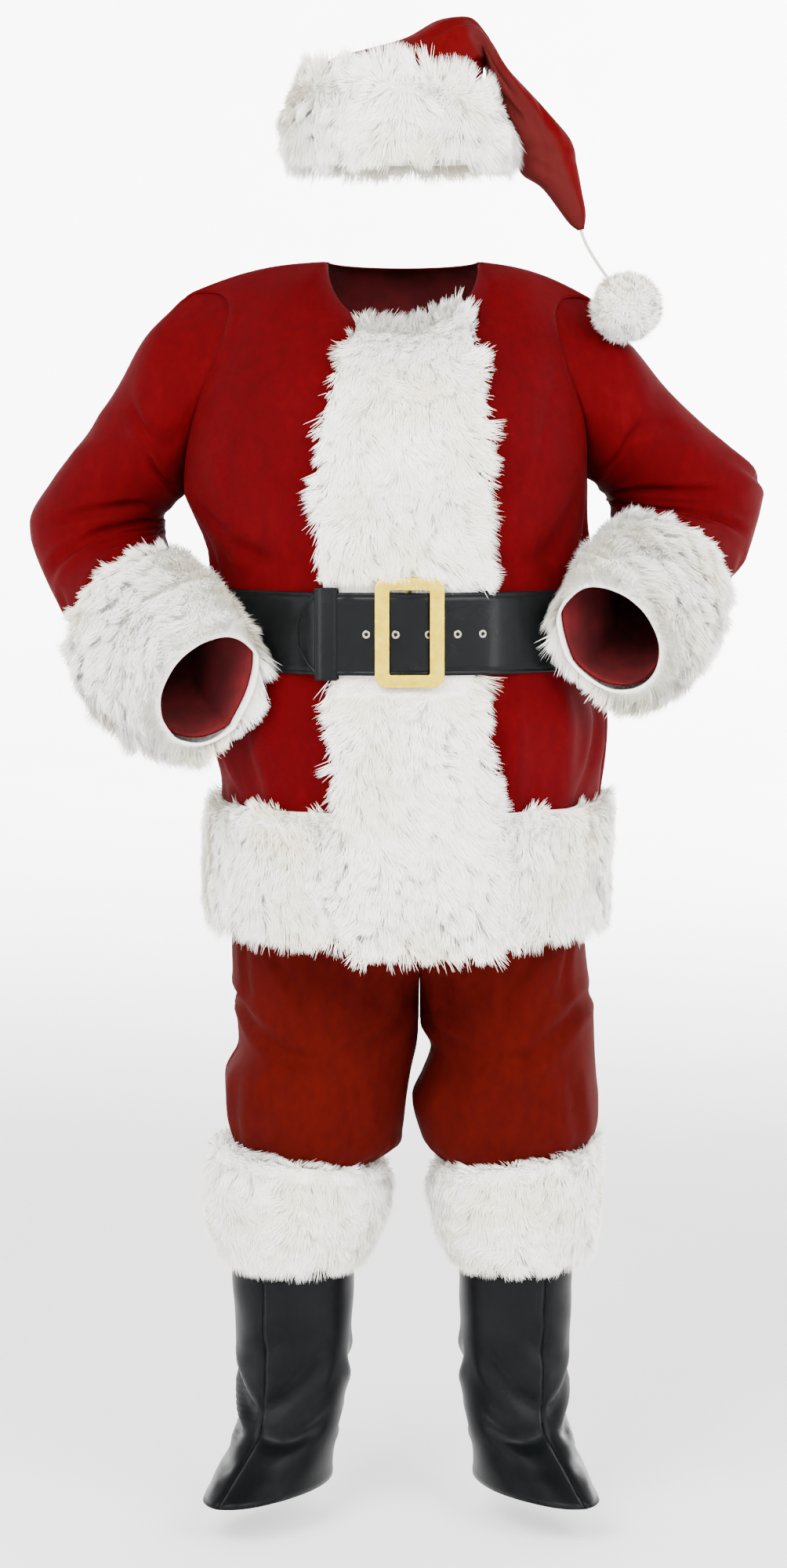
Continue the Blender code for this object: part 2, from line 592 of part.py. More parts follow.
def make_strap():
    """One strap: from the bar, left and round the back, then over its own start, to the pointed tip."""
    under = belt_path(np.concatenate([[BUCKLE_X - 0.006], LAP_PLACES, [-0.108, -0.125, -0.150]]))
    right = np.array([0.150, 0.120, 0.100, 0.085, 0.070, 0.055, 0.040, 0.025, BUCKLE_X])
    over = belt_path(np.concatenate([right, LAP_PLACES, [TIP_X + 0.012, TIP_X]]))
    middle, side = np.array([BELT_MIDDLE]), np.array([np.pi / 2])
    front, back = front_columns(middle, side)[0], whole_turn(back_columns(side)[0])
    right_side, left_side = front[front < under[-1]], front[front > over[0]]
    around = np.concatenate([right_side[::-1], back[::-1][1:-1], left_side[::-1]])
    under, over = (np.sort(np.concatenate([part, front[(front > part.min()) & (front < part.max())]]))[::-1]
                   for part in (under, over))
    theta = np.concatenate([under, around, over])
    points, normals = belt_frame(theta)
    x = points[:, 0]
    lapped = np.arange(len(theta)) >= len(under) + len(around)
    lift = np.where(points[:, 1] < 0, belt_lift(x), SEAM * 1.5) + np.where(lapped, lap_lift(x), 0.0)
    half = np.full(len(theta), (BELT_BAND[1] - BELT_BAND[0]) / 2)
    half[-2:] *= TIP_SHARES
    low, high = (points[:, :2] + normals[:, :2] * (lift + t)[:, None] for t in (0.0, BELT_THICK))
    levels = [BELT_MIDDLE - half, BELT_MIDDLE + half]
    outer = np.stack([np.column_stack([high, level]) for level in levels])
    inner = np.stack([np.column_stack([low, level]) for level in levels])
    wall("belt_strap", outer, inner, "belt_vinyl")
    return high[lapped]


def make_keeper():
    """A flat loop round both layers of the belt."""
    points, normals = belt_frame(belt_path(KEEPER_PLACES))
    base = belt_lift(KEEPER_PLACES) - SEAM
    depth = 2 * BELT_THICK + 3 * SEAM
    half = (KEEPER_HEIGHT - 2 * KEEPER_THICK) / 2
    near = np.array([(0.0, -half), (depth, -half), (depth, half), (0.0, half)])
    far = near + KEEPER_THICK * np.array([(-1, -1), (1, -1), (1, 1), (-1, 1)])

    def place(corners):
        out = base[:, None] + corners[None, :, 0]
        flat = points[:, None, :2] + normals[:, None, :2] * out[..., None]
        level = np.broadcast_to(BELT_MIDDLE + corners[:, 1], out.shape)
        return np.concatenate([flat, level[..., None]], axis=-1)

    wall("belt_keeper", place(far), place(near), "belt_vinyl", wrap=True)


BUCKLE_SIZE = (0.0800, 0.1270)
BUCKLE_BAR = 0.0170
BUCKLE_CHAMFER = 0.0090
BUCKLE_THICK = 0.0042
BUCKLE_ROLL = 0.0016  # of the frame's rolled edges
BUCKLE_MIDDLE = 1.105
WINDOW_TALLER, WINDOW_CHAMFER = 0.0030, 0.0012  # of the frame's opening
BAR_THICK, BAR_WIDE, FOOT_TALL = 0.0026, 0.0050, 0.0030
FUSED = 0.0010  # how deep the bar's feet go into the frame


def chamfered(width, height, cut, x, z):
    """The eight corners of a rectangle with cut corners."""
    w, h = width / 2, height / 2
    quarter = np.array([(w - cut, -h), (w, -h + cut), (w, h - cut), (w - cut, h)])
    return np.concatenate([[(cut - w, -h)], quarter, quarter[:0:-1] * (-1, 1)]) + (x, z)


def make_buckle(belt_face):
    """A flat frame with rolled edges and a centre bar behind it, from one loop of profile points."""
    beside = np.abs(belt_face[:, 0] - BUCKLE_X) < BUCKLE_SIZE[0] / 2 + 0.010
    face = belt_face[beside, 1].min() - SEAM
    outside = (BUCKLE_SIZE[0], BUCKLE_SIZE[1], BUCKLE_CHAMFER)
    wide, tall = (size - 2 * BUCKLE_BAR for size in BUCKLE_SIZE)
    window = (wide, tall + WINDOW_TALLER, WINDOW_CHAMFER)
    rolled = BUCKLE_THICK - BUCKLE_ROLL
    loops = [(outside, 0.0, 0.0), (outside, 0.0, rolled), (outside, BUCKLE_ROLL, BUCKLE_THICK),
             (window, -BUCKLE_ROLL, BUCKLE_THICK), (window, 0.0, rolled), (window, 0.0, 0.0)]
    rings = []
    for (width, height, cut), inset, out in loops:
        flat = chamfered(width - 2 * inset, height - 2 * inset, cut, BUCKLE_X, BUCKLE_MIDDLE)
        rings.append(np.column_stack([flat[:, 0], np.full(8, face - out), flat[:, 1]]))
    grid = np.stack(rings)
    faces = grid_faces(len(rings), 8, True).tolist()
    last = (len(rings) - 1) * 8
    faces += [[i, (i + 1) % 8, last + (i + 1) % 8, last + i] for i in range(8)]
    frame = add_mesh("buckle_frame", grid.reshape(-1, 3), faces, "gold_plate")
    join_bar(frame, face)


def join_bar(frame, face):
    """The centre bar, behind the strap, and its two feet up to the frame."""
    behind = face + BELT_THICK + 2.5 * SEAM
    span = BUCKLE_SIZE[1] - BUCKLE_BAR
    bar = box("buckle_bar", (BUCKLE_X, behind + BAR_THICK / 2, BUCKLE_MIDDLE), (BAR_WIDE, BAR_THICK, span))
    feet = []
    for sign in (-1, 1):
        z = BUCKLE_MIDDLE + sign * (span - FOOT_TALL) / 2
        deep = behind + BAR_THICK - face + FUSED
        feet.append(box("buckle_foot", (BUCKLE_X, face - FUSED + deep / 2, z), (BAR_WIDE, deep, FOOT_TALL)))
    for cutter in (bar, *feet):
        union = frame.modifiers.new(cutter.name, "BOOLEAN")
        union.operation, union.solver, union.object = "UNION", "EXACT", cutter


def box(name, centre, size):
    """A guide box for a Boolean."""
    mesh = bpy.data.meshes.new(name)
    shape = bmesh.new()
    bmesh.ops.create_cube(shape, size=1.0)
    for corner in shape.verts:
        corner.co = [centre[i] + corner.co[i] * size[i] - (HOLD if i == 2 else 0) for i in range(3)]
    shape.to_mesh(mesh)
    shape.free()
    guide = bpy.data.objects.new(name, mesh)
    guide.hide_render, guide.display_type = True, "WIRE"
    bpy.data.collections["guides"].objects.link(guide)
    return guide


EYELET_X = (-0.0425, -0.0090, 0.0290, 0.0620, 0.0910)
EYELET_OUTER, EYELET_HOLE, EYELET_THICK = 0.0049, 0.0020, 0.0009
EYELET_BEVELS = (0.0006, 0.0008)  # inwards from the hole and from the rim, up to the ring's face
EYELET_SIDES = 12


def make_eyelets(belt_face):
    """Flat rings on the outer layer's own facets, a hair off them."""
    order = np.argsort(belt_face[:, 0])
    xs, ys = belt_face[order].T
    for number, x in enumerate(EYELET_X, 1):
        across = x + EYELET_OUTER * np.linspace(-1, 1, 9)
        face = np.stack([across, np.interp(across, xs, ys)], axis=-1)
        side = unit(face[-1] - face[0])
        normal = np.array([side[1], -side[0]])
        proud = ((face - face[0]) @ normal).max() + SEAM
        seat = np.array([*((face[0] + face[-1]) / 2 + normal * proud), BUCKLE_MIDDLE])
        side, normal = np.append(side, 0), np.append(normal, 0)
        turn = np.linspace(0, 2 * np.pi, EYELET_SIDES, endpoint=False)
        circle = np.cos(turn)[:, None] * side + np.sin(turn)[:, None] * np.array([0.0, 0.0, 1.0])
        profile = ((EYELET_HOLE, 0.0), (EYELET_OUTER, 0.0), (EYELET_OUTER - EYELET_BEVELS[1], EYELET_THICK),
                   (EYELET_HOLE + EYELET_BEVELS[0], EYELET_THICK))
        grid = np.stack([seat + circle * r + normal * d for r, d in profile])
        faces = grid_faces(4, EYELET_SIDES, True).tolist()
        last = 3 * EYELET_SIDES
        ring = [(i, (i + 1) % EYELET_SIDES) for i in range(EYELET_SIDES)]
        faces += [[a, b, last + b, last + a] for a, b in ring]
        add_mesh(f"eyelet_{number}", grid.reshape(-1, 3), faces, "nickel_plate")


# ---------------------------------------------------------------- trousers

HIPS = table(
    "height left right front back",
    (0.600, -0.2050, 0.2250, 0.140, 0.125),
    (0.730, -0.2078, 0.2212, 0.158, 0.140),
    (0.850, -0.2050, 0.2160, 0.195, 0.152),
    (0.950, -0.2050, 0.2160, 0.205, 0.150),
    (1.000, -0.1980, 0.2070, 0.205, 0.152),
    (1.040, -0.1900, 0.1980, 0.200, 0.1628),
)
LEG_RIGHT = table(
    "height outer inner front back",
    (0.4080, -0.2035, -0.0635, 0.0700, 0.0700),
    (0.4250, -0.2038, -0.0632, 0.0704, 0.0704),
    (0.4400, -0.2010, -0.0450, 0.0870, 0.0840),
    (0.4520, -0.2020, -0.0260, 0.0990, 0.0930),
    (0.4652, -0.2050, -0.0050, 0.1100, 0.1010),
    (0.4870, -0.2115, 0.0005, 0.1210, 0.1090),
    (0.5250, -0.2172, 0.0050, 0.1310, 0.1160),
    (0.5592, -0.2171, 0.0105, 0.1330, 0.1180),
    (0.5930, -0.2018, 0.0180, 0.1280, 0.1180),
    (0.6172, -0.2030, 0.0195, 0.1330, 0.1220),
    (0.7300, -0.2078, 0.0195, 0.1480, 0.1350),
)
LEG_LEFT = table(
    "height outer inner front back",
    (0.4080, 0.2048, 0.0726, 0.0660, 0.0660),
    (0.4250, 0.2051, 0.0723, 0.0664, 0.0664),
    (0.4400, 0.2050, 0.0600, 0.0850, 0.0830),
    (0.4520, 0.2110, 0.0455, 0.0980, 0.0930),
    (0.4652, 0.2230, 0.0290, 0.1100, 0.1010),
    (0.4870, 0.2370, 0.0190, 0.1220, 0.1090),
    (0.5250, 0.2412, 0.0108, 0.1310, 0.1160),
    (0.5550, 0.2375, 0.0230, 0.1330, 0.1180),
    (0.5882, 0.2335, 0.0335, 0.1290, 0.1180),
    (0.6172, 0.2315, 0.0205, 0.1330, 0.1220),
    (0.7300, 0.2212, 0.0205, 0.1480, 0.1350),
)
WAIST = 0.985
LEG_ROWS = np.array([
    0.408, 0.425, 0.440, 0.453, 0.470, 0.498, 0.528, 0.560, 0.590, 0.617, 0.655, 0.730, 0.860, WAIST,
])
RISE_CENTRE = 0.020  # x of the seam between the legs
CROTCH, RISE_TOP = 0.617, 0.745  # where the blend from legs to hips begins and ends
WAISTBAND_ROWS = (WAIST + SEAM, 1.012, 1.039)
LEG_COLUMNS = 8


def hip_point(u, height, side, ahead):
    """The trousers' upper part: from the middle seam (u=0) round to the side seam (u=1)."""
    edge = follow(height, HIPS["height"], HIPS["right" if side > 0 else "left"])
    depth = follow(height, HIPS["height"], HIPS["front" if ahead else "back"])
    exponent = 2 / SQUARENESS
    angle = u * np.pi / 2
    x = RISE_CENTRE + (edge - RISE_CENTRE) * np.sin(angle) ** exponent
    y = (-depth if ahead else depth) * np.cos(angle) ** exponent
    return np.stack(np.broadcast_arrays(x, y, height), axis=-1)


def leg_point(u, height, side, ahead):
    """A leg's tube: from the inseam (u=0) round to the side seam (u=1)."""
    t = LEG_LEFT if side > 0 else LEG_RIGHT
    outer, inner = follow(height, t["height"], t["outer"]), follow(height, t["height"], t["inner"])
    depth = follow(height, t["height"], t["front" if ahead else "back"])
    angle = u * np.pi
    x = (outer + inner) / 2 - (outer - inner) / 2 * np.cos(angle)
    y = (-depth if ahead else depth) * np.sin(angle)
    return np.stack(np.broadcast_arrays(x, y, height), axis=-1)


def trouser_point(u, height, side, ahead):
    """Hips above, leg below, and a blend over the rise between them."""
    share = ease((RISE_TOP - height) / (RISE_TOP - CROTCH))[..., None]
    return hip_point(u, height, side, ahead) * (1 - share) + leg_point(u, height, side, ahead) * share


def trouser_normal(u, height, side, ahead):
    d = 1e-3
    up = trouser_point(u, height + d, side, ahead) - trouser_point(u, height - d, side, ahead)
    across = trouser_point(u + d, height, side, ahead) - trouser_point(u - d, height, side, ahead)
    normal = unit(np.cross(across, up))
    return normal * (side if ahead else -side)


def trouser_seam_normal(u, height, side, ahead):
    """Normals that agree across the side seam and the inseam, and lie in the middle plane on the rise."""
    normal = trouser_normal(np.clip(u, 0.004, 0.996), height, side, ahead)
    inseam = (u <= 0) & (height <= CROTCH)
    normal[inseam] = (-side, 0.0, 0.0)
    rise = (u <= 0) & (height > CROTCH)
    normal[rise, 0] = -side * np.maximum(-side * normal[rise, 0], 0)
    normal[u >= 1, 1] = 0
    return unit(normal)


def make_trousers():
    for side, word in ((-1, "right"), (1, "left")):
        for ahead, face in ((True, "front"), (False, "back")):
            u = np.linspace(0, 1, LEG_COLUMNS)[None, :] + 0 * LEG_ROWS[:, None]
            height = LEG_ROWS[:, None] + 0 * u
            outer = trouser_point(u, height, side, ahead)
            inner = outer - CLOTH * trouser_seam_normal(u, height, side, ahead)
            outer, inner = part_edges(outer, inner, "left right")
            wall(f"trouser_{word}_{face}", outer, inner, "trouser_velvet")


def make_waistband():
    """A plain band above the four panels."""
    u = np.linspace(0, 1, 9)
    quarters = ((1, True, u[:-1]), (1, False, u[::-1][:-1]), (-1, False, u[:-1]), (-1, True, u[::-1][:-1]))
    rows = []
    for height in WAISTBAND_ROWS:
        level = [hip_point(q, np.full(len(q), height), side, ahead) for side, ahead, q in quarters]
        rows.append(np.concatenate(level))
    outer = np.stack(rows)
    normals = grid_normals(outer, True)
    normals *= np.sign(np.sum(normals * (outer - outer.mean(axis=1, keepdims=True))))
    wall("trouser_waistband", outer, outer - 1.5 * CLOTH * normals, "trouser_velvet", wrap=True)


# ---------------------------------------------------------------- boot tops

TOE_TURN = {-1: np.radians(-30), 1: np.radians(30)}  # from straight ahead, outwards
BOOT_RIGHT = table(
    "height x y length width",
    (0.050, -0.1640, -0.043, 0.118, 0.0570),
    (0.070, -0.1580, -0.032, 0.102, 0.0575),
    (0.092, -0.1490, -0.014, 0.085, 0.0585),
    (0.115, -0.1410, -0.001, 0.071, 0.0605),
    (0.142, -0.1370, 0.004, 0.068, 0.0630),
    (0.185, -0.1337, 0.004, 0.070, 0.0680),
    (0.250, -0.1343, 0.000, 0.0725, 0.0720),
    (0.330, -0.1338, 0.000, 0.0755, 0.0755),
    (0.424, -0.1335, 0.000, 0.0765, 0.0765),
)
BOOT_LEFT = table(
    "height x y length width",
    (0.050, 0.1620, -0.043, 0.115, 0.0560),
    (0.070, 0.1560, -0.031, 0.100, 0.0565),
    (0.092, 0.1490, -0.013, 0.083, 0.0575),
    (0.115, 0.1410, 0.000, 0.070, 0.0590),
    (0.142, 0.1370, 0.004, 0.066, 0.0610),
    (0.185, 0.1372, 0.004, 0.067, 0.0650),
    (0.250, 0.1378, 0.000, 0.0685, 0.0680),
    (0.330, 0.1386, 0.000, 0.0705, 0.0705),
    (0.424, 0.1387, 0.000, 0.0720, 0.0720),
)
BOOT_ROWS = np.array([0.050, 0.068, 0.090, 0.115, 0.150, 0.195, 0.255, 0.330, 0.424])
ANKLE_FOLDS = table(
    "height angle reach depth",
    (0.150, 25, 30, 0.006),
    (0.115, -40, 35, 0.005),
    (0.200, -20, 25, 0.004),
)
FOLD_REACH = 0.018


def boot_point(turn, height, side):
    """A boot top's outer surface: turn 0 is the toe's direction, positive towards +X."""
    t = BOOT_LEFT if side > 0 else BOOT_RIGHT
    x, y, length, width = (follow(height, t["height"], t[name]) for name in ("x", "y", "length", "width"))
    forward, sideways = length * np.cos(turn), width * np.sin(turn)
    c, s = np.cos(TOE_TURN[side]), np.sin(TOE_TURN[side])
    across, ahead = forward * s + sideways * c, forward * c - sideways * s
    return np.stack([x + across, y - ahead, height + 0 * forward], axis=-1)


def boot_normal(turn, height, side):
    d = 1e-3
    up = boot_point(turn, height + d, side) - boot_point(turn, height - d, side)
    across = boot_point(turn + d, height, side) - boot_point(turn - d, height, side)
    return unit(np.cross(across, up))


def ankle_squeeze(turn, height, side):
    """How far the boot top sinks in at each crease of the ankle."""
    squeeze = np.zeros(turn.shape)
    degrees = np.degrees(turn) * side
    for level, angle, reach, depth in zip(*ANKLE_FOLDS.values()):
        along, around = (height - level) / FOLD_REACH, (degrees - angle) / reach
        squeeze += depth * np.exp(-(along**2) - around**2)
    return squeeze[..., None]


def make_boot_tops():
    for side, word in ((-1, "right"), (1, "left")):
        for half, place in ((side, "outer"), (-side, "inner")):
            turn = half * np.linspace(0, np.pi, 8)[None, :] + 0 * BOOT_ROWS[:, None]
            height = BOOT_ROWS[:, None] + 0 * turn
            normal = boot_normal(turn, height, side)
            outer = boot_point(turn, height, side) - normal * ankle_squeeze(turn, height, side)
            inner = outer - VINYL * normal
            outer, inner = part_edges(outer, inner, "left right")
            wall(f"boot_top_{word}_{place}", outer, inner, "boot_vinyl")


BOOT_FUR_RIGHT = table(
    "share outer inner front back",
    (0.00, -0.2125, -0.0545, 0.080, 0.080),
    (0.10, -0.2260, -0.0400, 0.094, 0.094),
    (0.30, -0.2390, -0.0250, 0.108, 0.106),
    (0.55, -0.2450, -0.0130, 0.121, 0.115),
    (0.85, -0.2430, -0.0090, 0.128, 0.119),
    (1.00, -0.2330, -0.0180, 0.123, 0.112),
)
BOOT_FUR_LEFT = table(
    "share outer inner front back",
    (0.00, 0.2125, 0.0645, 0.076, 0.076),
    (0.10, 0.2300, 0.0540, 0.092, 0.092),
    (0.30, 0.2400, 0.0400, 0.106, 0.104),
    (0.55, 0.2440, 0.0310, 0.119, 0.114),
    (0.85, 0.2470, 0.0270, 0.127, 0.118),
    (1.00, 0.2420, 0.0330, 0.122, 0.112),
)
BOOT_FUR_BOTTOM = 0.322
BOOT_SEAT = (0.322, 0.330, 0.377, 0.424)  # heights of the rows that lie on the boot top
FUR_TOP_MIDDLE, FUR_TOP_LEAN = 0.458, 0.014  # the band's top edge rises towards the outer side
LEG_CLEARANCE = 0.0040
BOOT_COLUMNS = 14


def make_boot_fur():
    """A band from the boot top out to the reach of its pile, open above round the trouser leg."""
    for side, word in ((-1, "right"), (1, "left")):
        t = BOOT_FUR_LEFT if side > 0 else BOOT_FUR_RIGHT
        turn = np.linspace(0, 2 * np.pi, BOOT_COLUMNS, endpoint=False)[None, :]
        bearing = turn + TOE_TURN[side]
        right, ahead = np.sin(bearing), np.cos(bearing)
        top = FUR_TOP_MIDDLE + FUR_TOP_LEAN * right * side
        height = BOOT_FUR_BOTTOM + (top - BOOT_FUR_BOTTOM) * t["share"][:, None]
        outer_x, inner_x = t["outer"][:, None], t["inner"][:, None]
        x = (outer_x + inner_x) / 2 + (outer_x - inner_x) / 2 * right * side
        y = -np.where(ahead > 0, t["front"][:, None], t["back"][:, None]) * ahead
        outer = np.stack([x, y, height], axis=-1)
        wall(f"boot_fur_{word}", outer, boot_fur_seat(turn, top, side), "white_pile", wrap=True)


def boot_facet(turn, height, side):
    """The boot top's own facets at a height: straight between the two rows about it, and SEAM out."""
    low, high = BOOT_ROWS[-3:-1], BOOT_ROWS[-2:]
    k = 0 if height < high[0] else 1
    t = (height - low[k]) / (high[k] - low[k])
    ends = [boot_point(turn, np.full_like(turn, level), side) for level in (low[k], high[k])]
    return ends[0] * (1 - t) + ends[1] * t + SEAM * boot_normal(turn, np.full_like(turn, high[1]), side)


def boot_fur_seat(turn, top, side):
    """The band's inner face: on the boot top's facets, then opening clear of the trouser leg."""
    rows = [boot_facet(turn[0], height, side) for height in BOOT_SEAT]
    bearing = turn[0] + TOE_TURN[side]
    u = np.arccos(np.clip(-np.sin(bearing) * side, -1, 1)) / np.pi
    for share in (0.5, 1.0):
        level = BOOT_SEAT[-1] + (top[0] - BOOT_SEAT[-1]) * share
        legs = [leg_point(u, level, side, ahead) for ahead in (True, False)]
        leg = np.where((np.cos(bearing) > 0)[:, None], *legs)
        out = np.stack([np.sin(bearing), -np.cos(bearing), 0 * bearing], axis=-1)
        rows.append(leg + LEG_CLEARANCE * out)
    return np.stack(rows)


# ---------------------------------------------------------------- hat

CROWN = table(
    "outer_x outer_h inner_x inner_h y depth",
    (-0.1055, 1.6500, 0.0935, 1.6500, 0.004, 0.1120),
    (-0.1055, 1.6950, 0.0935, 1.6900, 0.004, 0.1120),
    (-0.1050, 1.7400, 0.0935, 1.7250, 0.004, 0.1110),
    (-0.0900, 1.7700, 0.0950, 1.7500, 0.004, 0.1040),
    (-0.0450, 1.7850, 0.0960, 1.7580, 0.004, 0.0940),
    (0.0030, 1.8000, 0.0970, 1.7630, 0.006, 0.0840),
    (0.0400, 1.8200, 0.0985, 1.7665, 0.008, 0.0740),
    (0.0725, 1.8251, 0.1010, 1.7680, 0.010, 0.0640),
    (0.0960, 1.8060, 0.1050, 1.7640, 0.012, 0.0560),
    (0.1202, 1.7717, 0.1110, 1.7500, 0.014, 0.0500),
    (0.1474, 1.7421, 0.1215, 1.7250, 0.014, 0.0450),
    (0.1746, 1.7108, 0.1340, 1.6940, 0.012, 0.0400),
    (0.2019, 1.6784, 0.1435, 1.6600, 0.010, 0.0340),
    (0.2090, 1.6480, 0.1500, 1.6380, 0.006, 0.0270),
    (0.2145, 1.6180, 0.1700, 1.6210, 0.002, 0.0200),
    (0.2188, 1.5910, 0.1970, 1.5830, 0.000, 0.0125),
    (0.2170, 1.5737, 0.2088, 1.5719, 0.000, 0.0042),
)
HAT_COLUMNS = 9
TIP_WALL = 0.41  # of the crown's depth, where it closes round the cord


def crown_grid():
    outer = section_rings(CROWN, np.linspace(0, 2 * np.pi, 2 * HAT_COLUMNS - 2, endpoint=False))
    return outer, outward(outer)


def make_crown():
    """Two gores, front and back, with their seams along the crown's outlines."""
    outer, normals = crown_grid()
    thick = np.minimum(CLOTH, TIP_WALL * CROWN["depth"])[:, None, None]
    inner = outer - thick * normals
    half = HAT_COLUMNS - 1
    front, back = np.arange(half + 1), np.arange(half, 2 * half + 1) % (2 * half)
    for name, picks in (("hat_crown_front", front), ("hat_crown_back", back)):
        wall(name, *part_edges(outer[:, picks], inner[:, picks], "left right"), "hat_velvet")


HAT_FUR = table(
    "share pile right_pile",
    (0.00, 0.018, 0.018),
    (0.15, 0.034, 0.036),
    (0.42, 0.041, 0.040),
    (0.72, 0.038, 0.022),
    (1.00, 0.010, 0.004),
)
HAT_FUR_BOTTOM, HAT_FUR_TOP, HAT_FUR_TOP_RIGHT = 1.648, 1.769, 1.742
HAT_FUR_CLEAR = 0.0012  # from the crown, where the band's edge lies on its slope


def make_hat_fur():
    """The band: a thick roll outside the crown's straight part, flattened where the crown folds over it."""
    crown, normals = crown_grid()
    base, out = crown[:3], unit(normals[:3] * (1, 1, 0))
    from_middle = base[0] - base[0].mean(axis=0)
    to_right = ease((from_middle[:, 0] / from_middle[:, 0].max() + 0.15) / 1.15) ** 1.5
    top = HAT_FUR_TOP + (HAT_FUR_TOP_RIGHT - HAT_FUR_TOP) * to_right
    rise = ((top - base[2, :, 2]) / (crown[3, :, 2] - base[2, :, 2]))[:, None]
    lip = base[2] + (crown[3] - base[2]) * rise + HAT_FUR_CLEAR * normals[3]
    seat = np.concatenate([base + SEAM * out, [lip * 0.5 + (base[2] + HAT_FUR_CLEAR * out[2]) * 0.5, lip]])
    share = HAT_FUR["share"][:, None]
    pile = HAT_FUR["pile"][:, None] * (1 - to_right) + HAT_FUR["right_pile"][:, None] * to_right
    height = HAT_FUR_BOTTOM + (top - HAT_FUR_BOTTOM) * share
    outer = base[0] * (1, 1, 0) + out[0] * pile[..., None]
    outer[..., 2] = height
    wall("hat_fur_band", outer, seat, "white_pile", wrap=True)


POMPOM_CENTRE = np.array([0.2650, -0.0520, 1.4790])
POMPOM_CORE, POMPOM_REACH = 0.034, 0.0455
CORD_THICK = 0.0042
CORD_START, CORD_DOWN = np.array([0.2124, 0.0, 1.5750]), np.array([0.21, 0.0, -0.977])
CORD_ARRIVES = np.array([-0.45, 0.48, 0.76])  # from the ball's middle to where the cord goes in
CORD_REACH = 0.0330  # from the ball's middle to the cord's end, just off the ball's facet
CORD_BEND, CORD_POINTS = 0.026, 14
BALD = np.cos(np.radians(17))  # the locks this near the cord are left off
LOCK_INSET, LOCK_TIP = 0.0012, 0.42  # a lock's step in from its triangle, and the share of it left at the tip
LOCK_UNEVEN, LOCK_LEAN = 0.0030, 0.0016  # most that a lock falls short, and the spread of its lean


def make_pompom():
    """A ball whose triangles each carry one tapered three-sided lock, their roots fused in the ball."""
    shape = bmesh.new()
    bmesh.ops.create_icosphere(shape, subdivisions=2, radius=POMPOM_CORE)
    cord = unit(CORD_ARRIVES)
    locks = [face for face in shape.faces if np.array(face.normal) @ cord < BALD]
    bmesh.ops.inset_individual(shape, faces=locks, thickness=LOCK_INSET, use_even_offset=True)
    random = np.random.default_rng(7)
    for lock in locks:
        reach = POMPOM_REACH - POMPOM_CORE - LOCK_UNEVEN * random.random()
        lean = random.normal(0, LOCK_LEAN, 3)
        normal = np.array(lock.normal)
        centre = np.array(lock.calc_center_median())
        tip = bmesh.ops.extrude_discrete_faces(shape, faces=[lock])["faces"][0]
        for corner in tip.verts:
            spot = np.array(corner.co)
            corner.co = centre + normal * reach + lean + (spot - centre) * LOCK_TIP
    mesh = bpy.data.meshes.new("pompom")
    bmesh.ops.recalc_face_normals(shape, faces=shape.faces)
    for corner in shape.verts:
        corner.co = np.array(corner.co) + POMPOM_CENTRE - (0, 0, HOLD)
    shape.to_mesh(mesh)
    shape.free()
    mesh.shade_smooth()
    add_object("pompom", mesh, "white_pile")


def cord_route():
    """The cord's middle line: out of the hat's tip, downwards, then straight in to the ball."""
    end = POMPOM_CENTRE + unit(CORD_ARRIVES) * CORD_REACH
    controls = (CORD_START, CORD_START + CORD_DOWN * CORD_BEND, end + unit(CORD_ARRIVES) * CORD_BEND, end)
    t = np.linspace(0, 1, CORD_POINTS)[:, None]
    return sum(p * k * t**i * (1 - t) ** (3 - i) for i, (p, k) in enumerate(zip(controls, (1, 3, 3, 1))))


def make_cord():
    """The cord from the hat's tip to the pompom."""
    curve = bpy.data.curves.new("pompom_cord", "CURVE")
    curve.dimensions, curve.bevel_depth, curve.bevel_resolution = "3D", CORD_THICK / 2, 2
    curve.use_fill_caps = True
    spline = curve.splines.new("POLY")
    spline.points.add(CORD_POINTS - 1)
    for point, (x, y, h) in zip(spline.points, cord_route()):
        point.co = (x, y, h - HOLD, 1.0)
    piece = bpy.data.objects.new("pompom_cord", curve)
    bpy.data.collections[COLLECTION].objects.link(piece)
    curve.materials.append(material("white_cord"))


def clear_scene():
    for piece in list(bpy.data.objects):
        bpy.data.objects.remove(piece, do_unlink=True)
    for name in (COLLECTION, "guides"):
        old = bpy.data.collections.get(name)
        if old:
            bpy.data.collections.remove(old)
        bpy.context.scene.collection.children.link(bpy.data.collections.new(name))


def main():
    clear_scene()
    make_jacket_body()
    make_sleeves()
    make_front_strip()
    make_hem_band()
    belt_face = make_strap()
    make_keeper()
    make_buckle(belt_face)
    make_eyelets(belt_face)
    make_trousers()
    make_waistband()
    make_boot_tops()
    make_boot_fur()
    make_crown()
    make_hat_fur()
    make_cord()
    make_pompom()


main()
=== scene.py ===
"""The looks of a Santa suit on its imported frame: velvet shells, long-pile trim, vinyl belt and boot tops.

Metres, +Z up. The front faces -Y and +X is the wearer's left. Heights in the tables are above the
floor, and HOLD is the height of the frame's origin. Each cloth piece is a surface of two parameters
whose creases move it along its normals. Pile is many thin blades that start on a backing, lean along
a flow and gather in tufts.
"""

import json

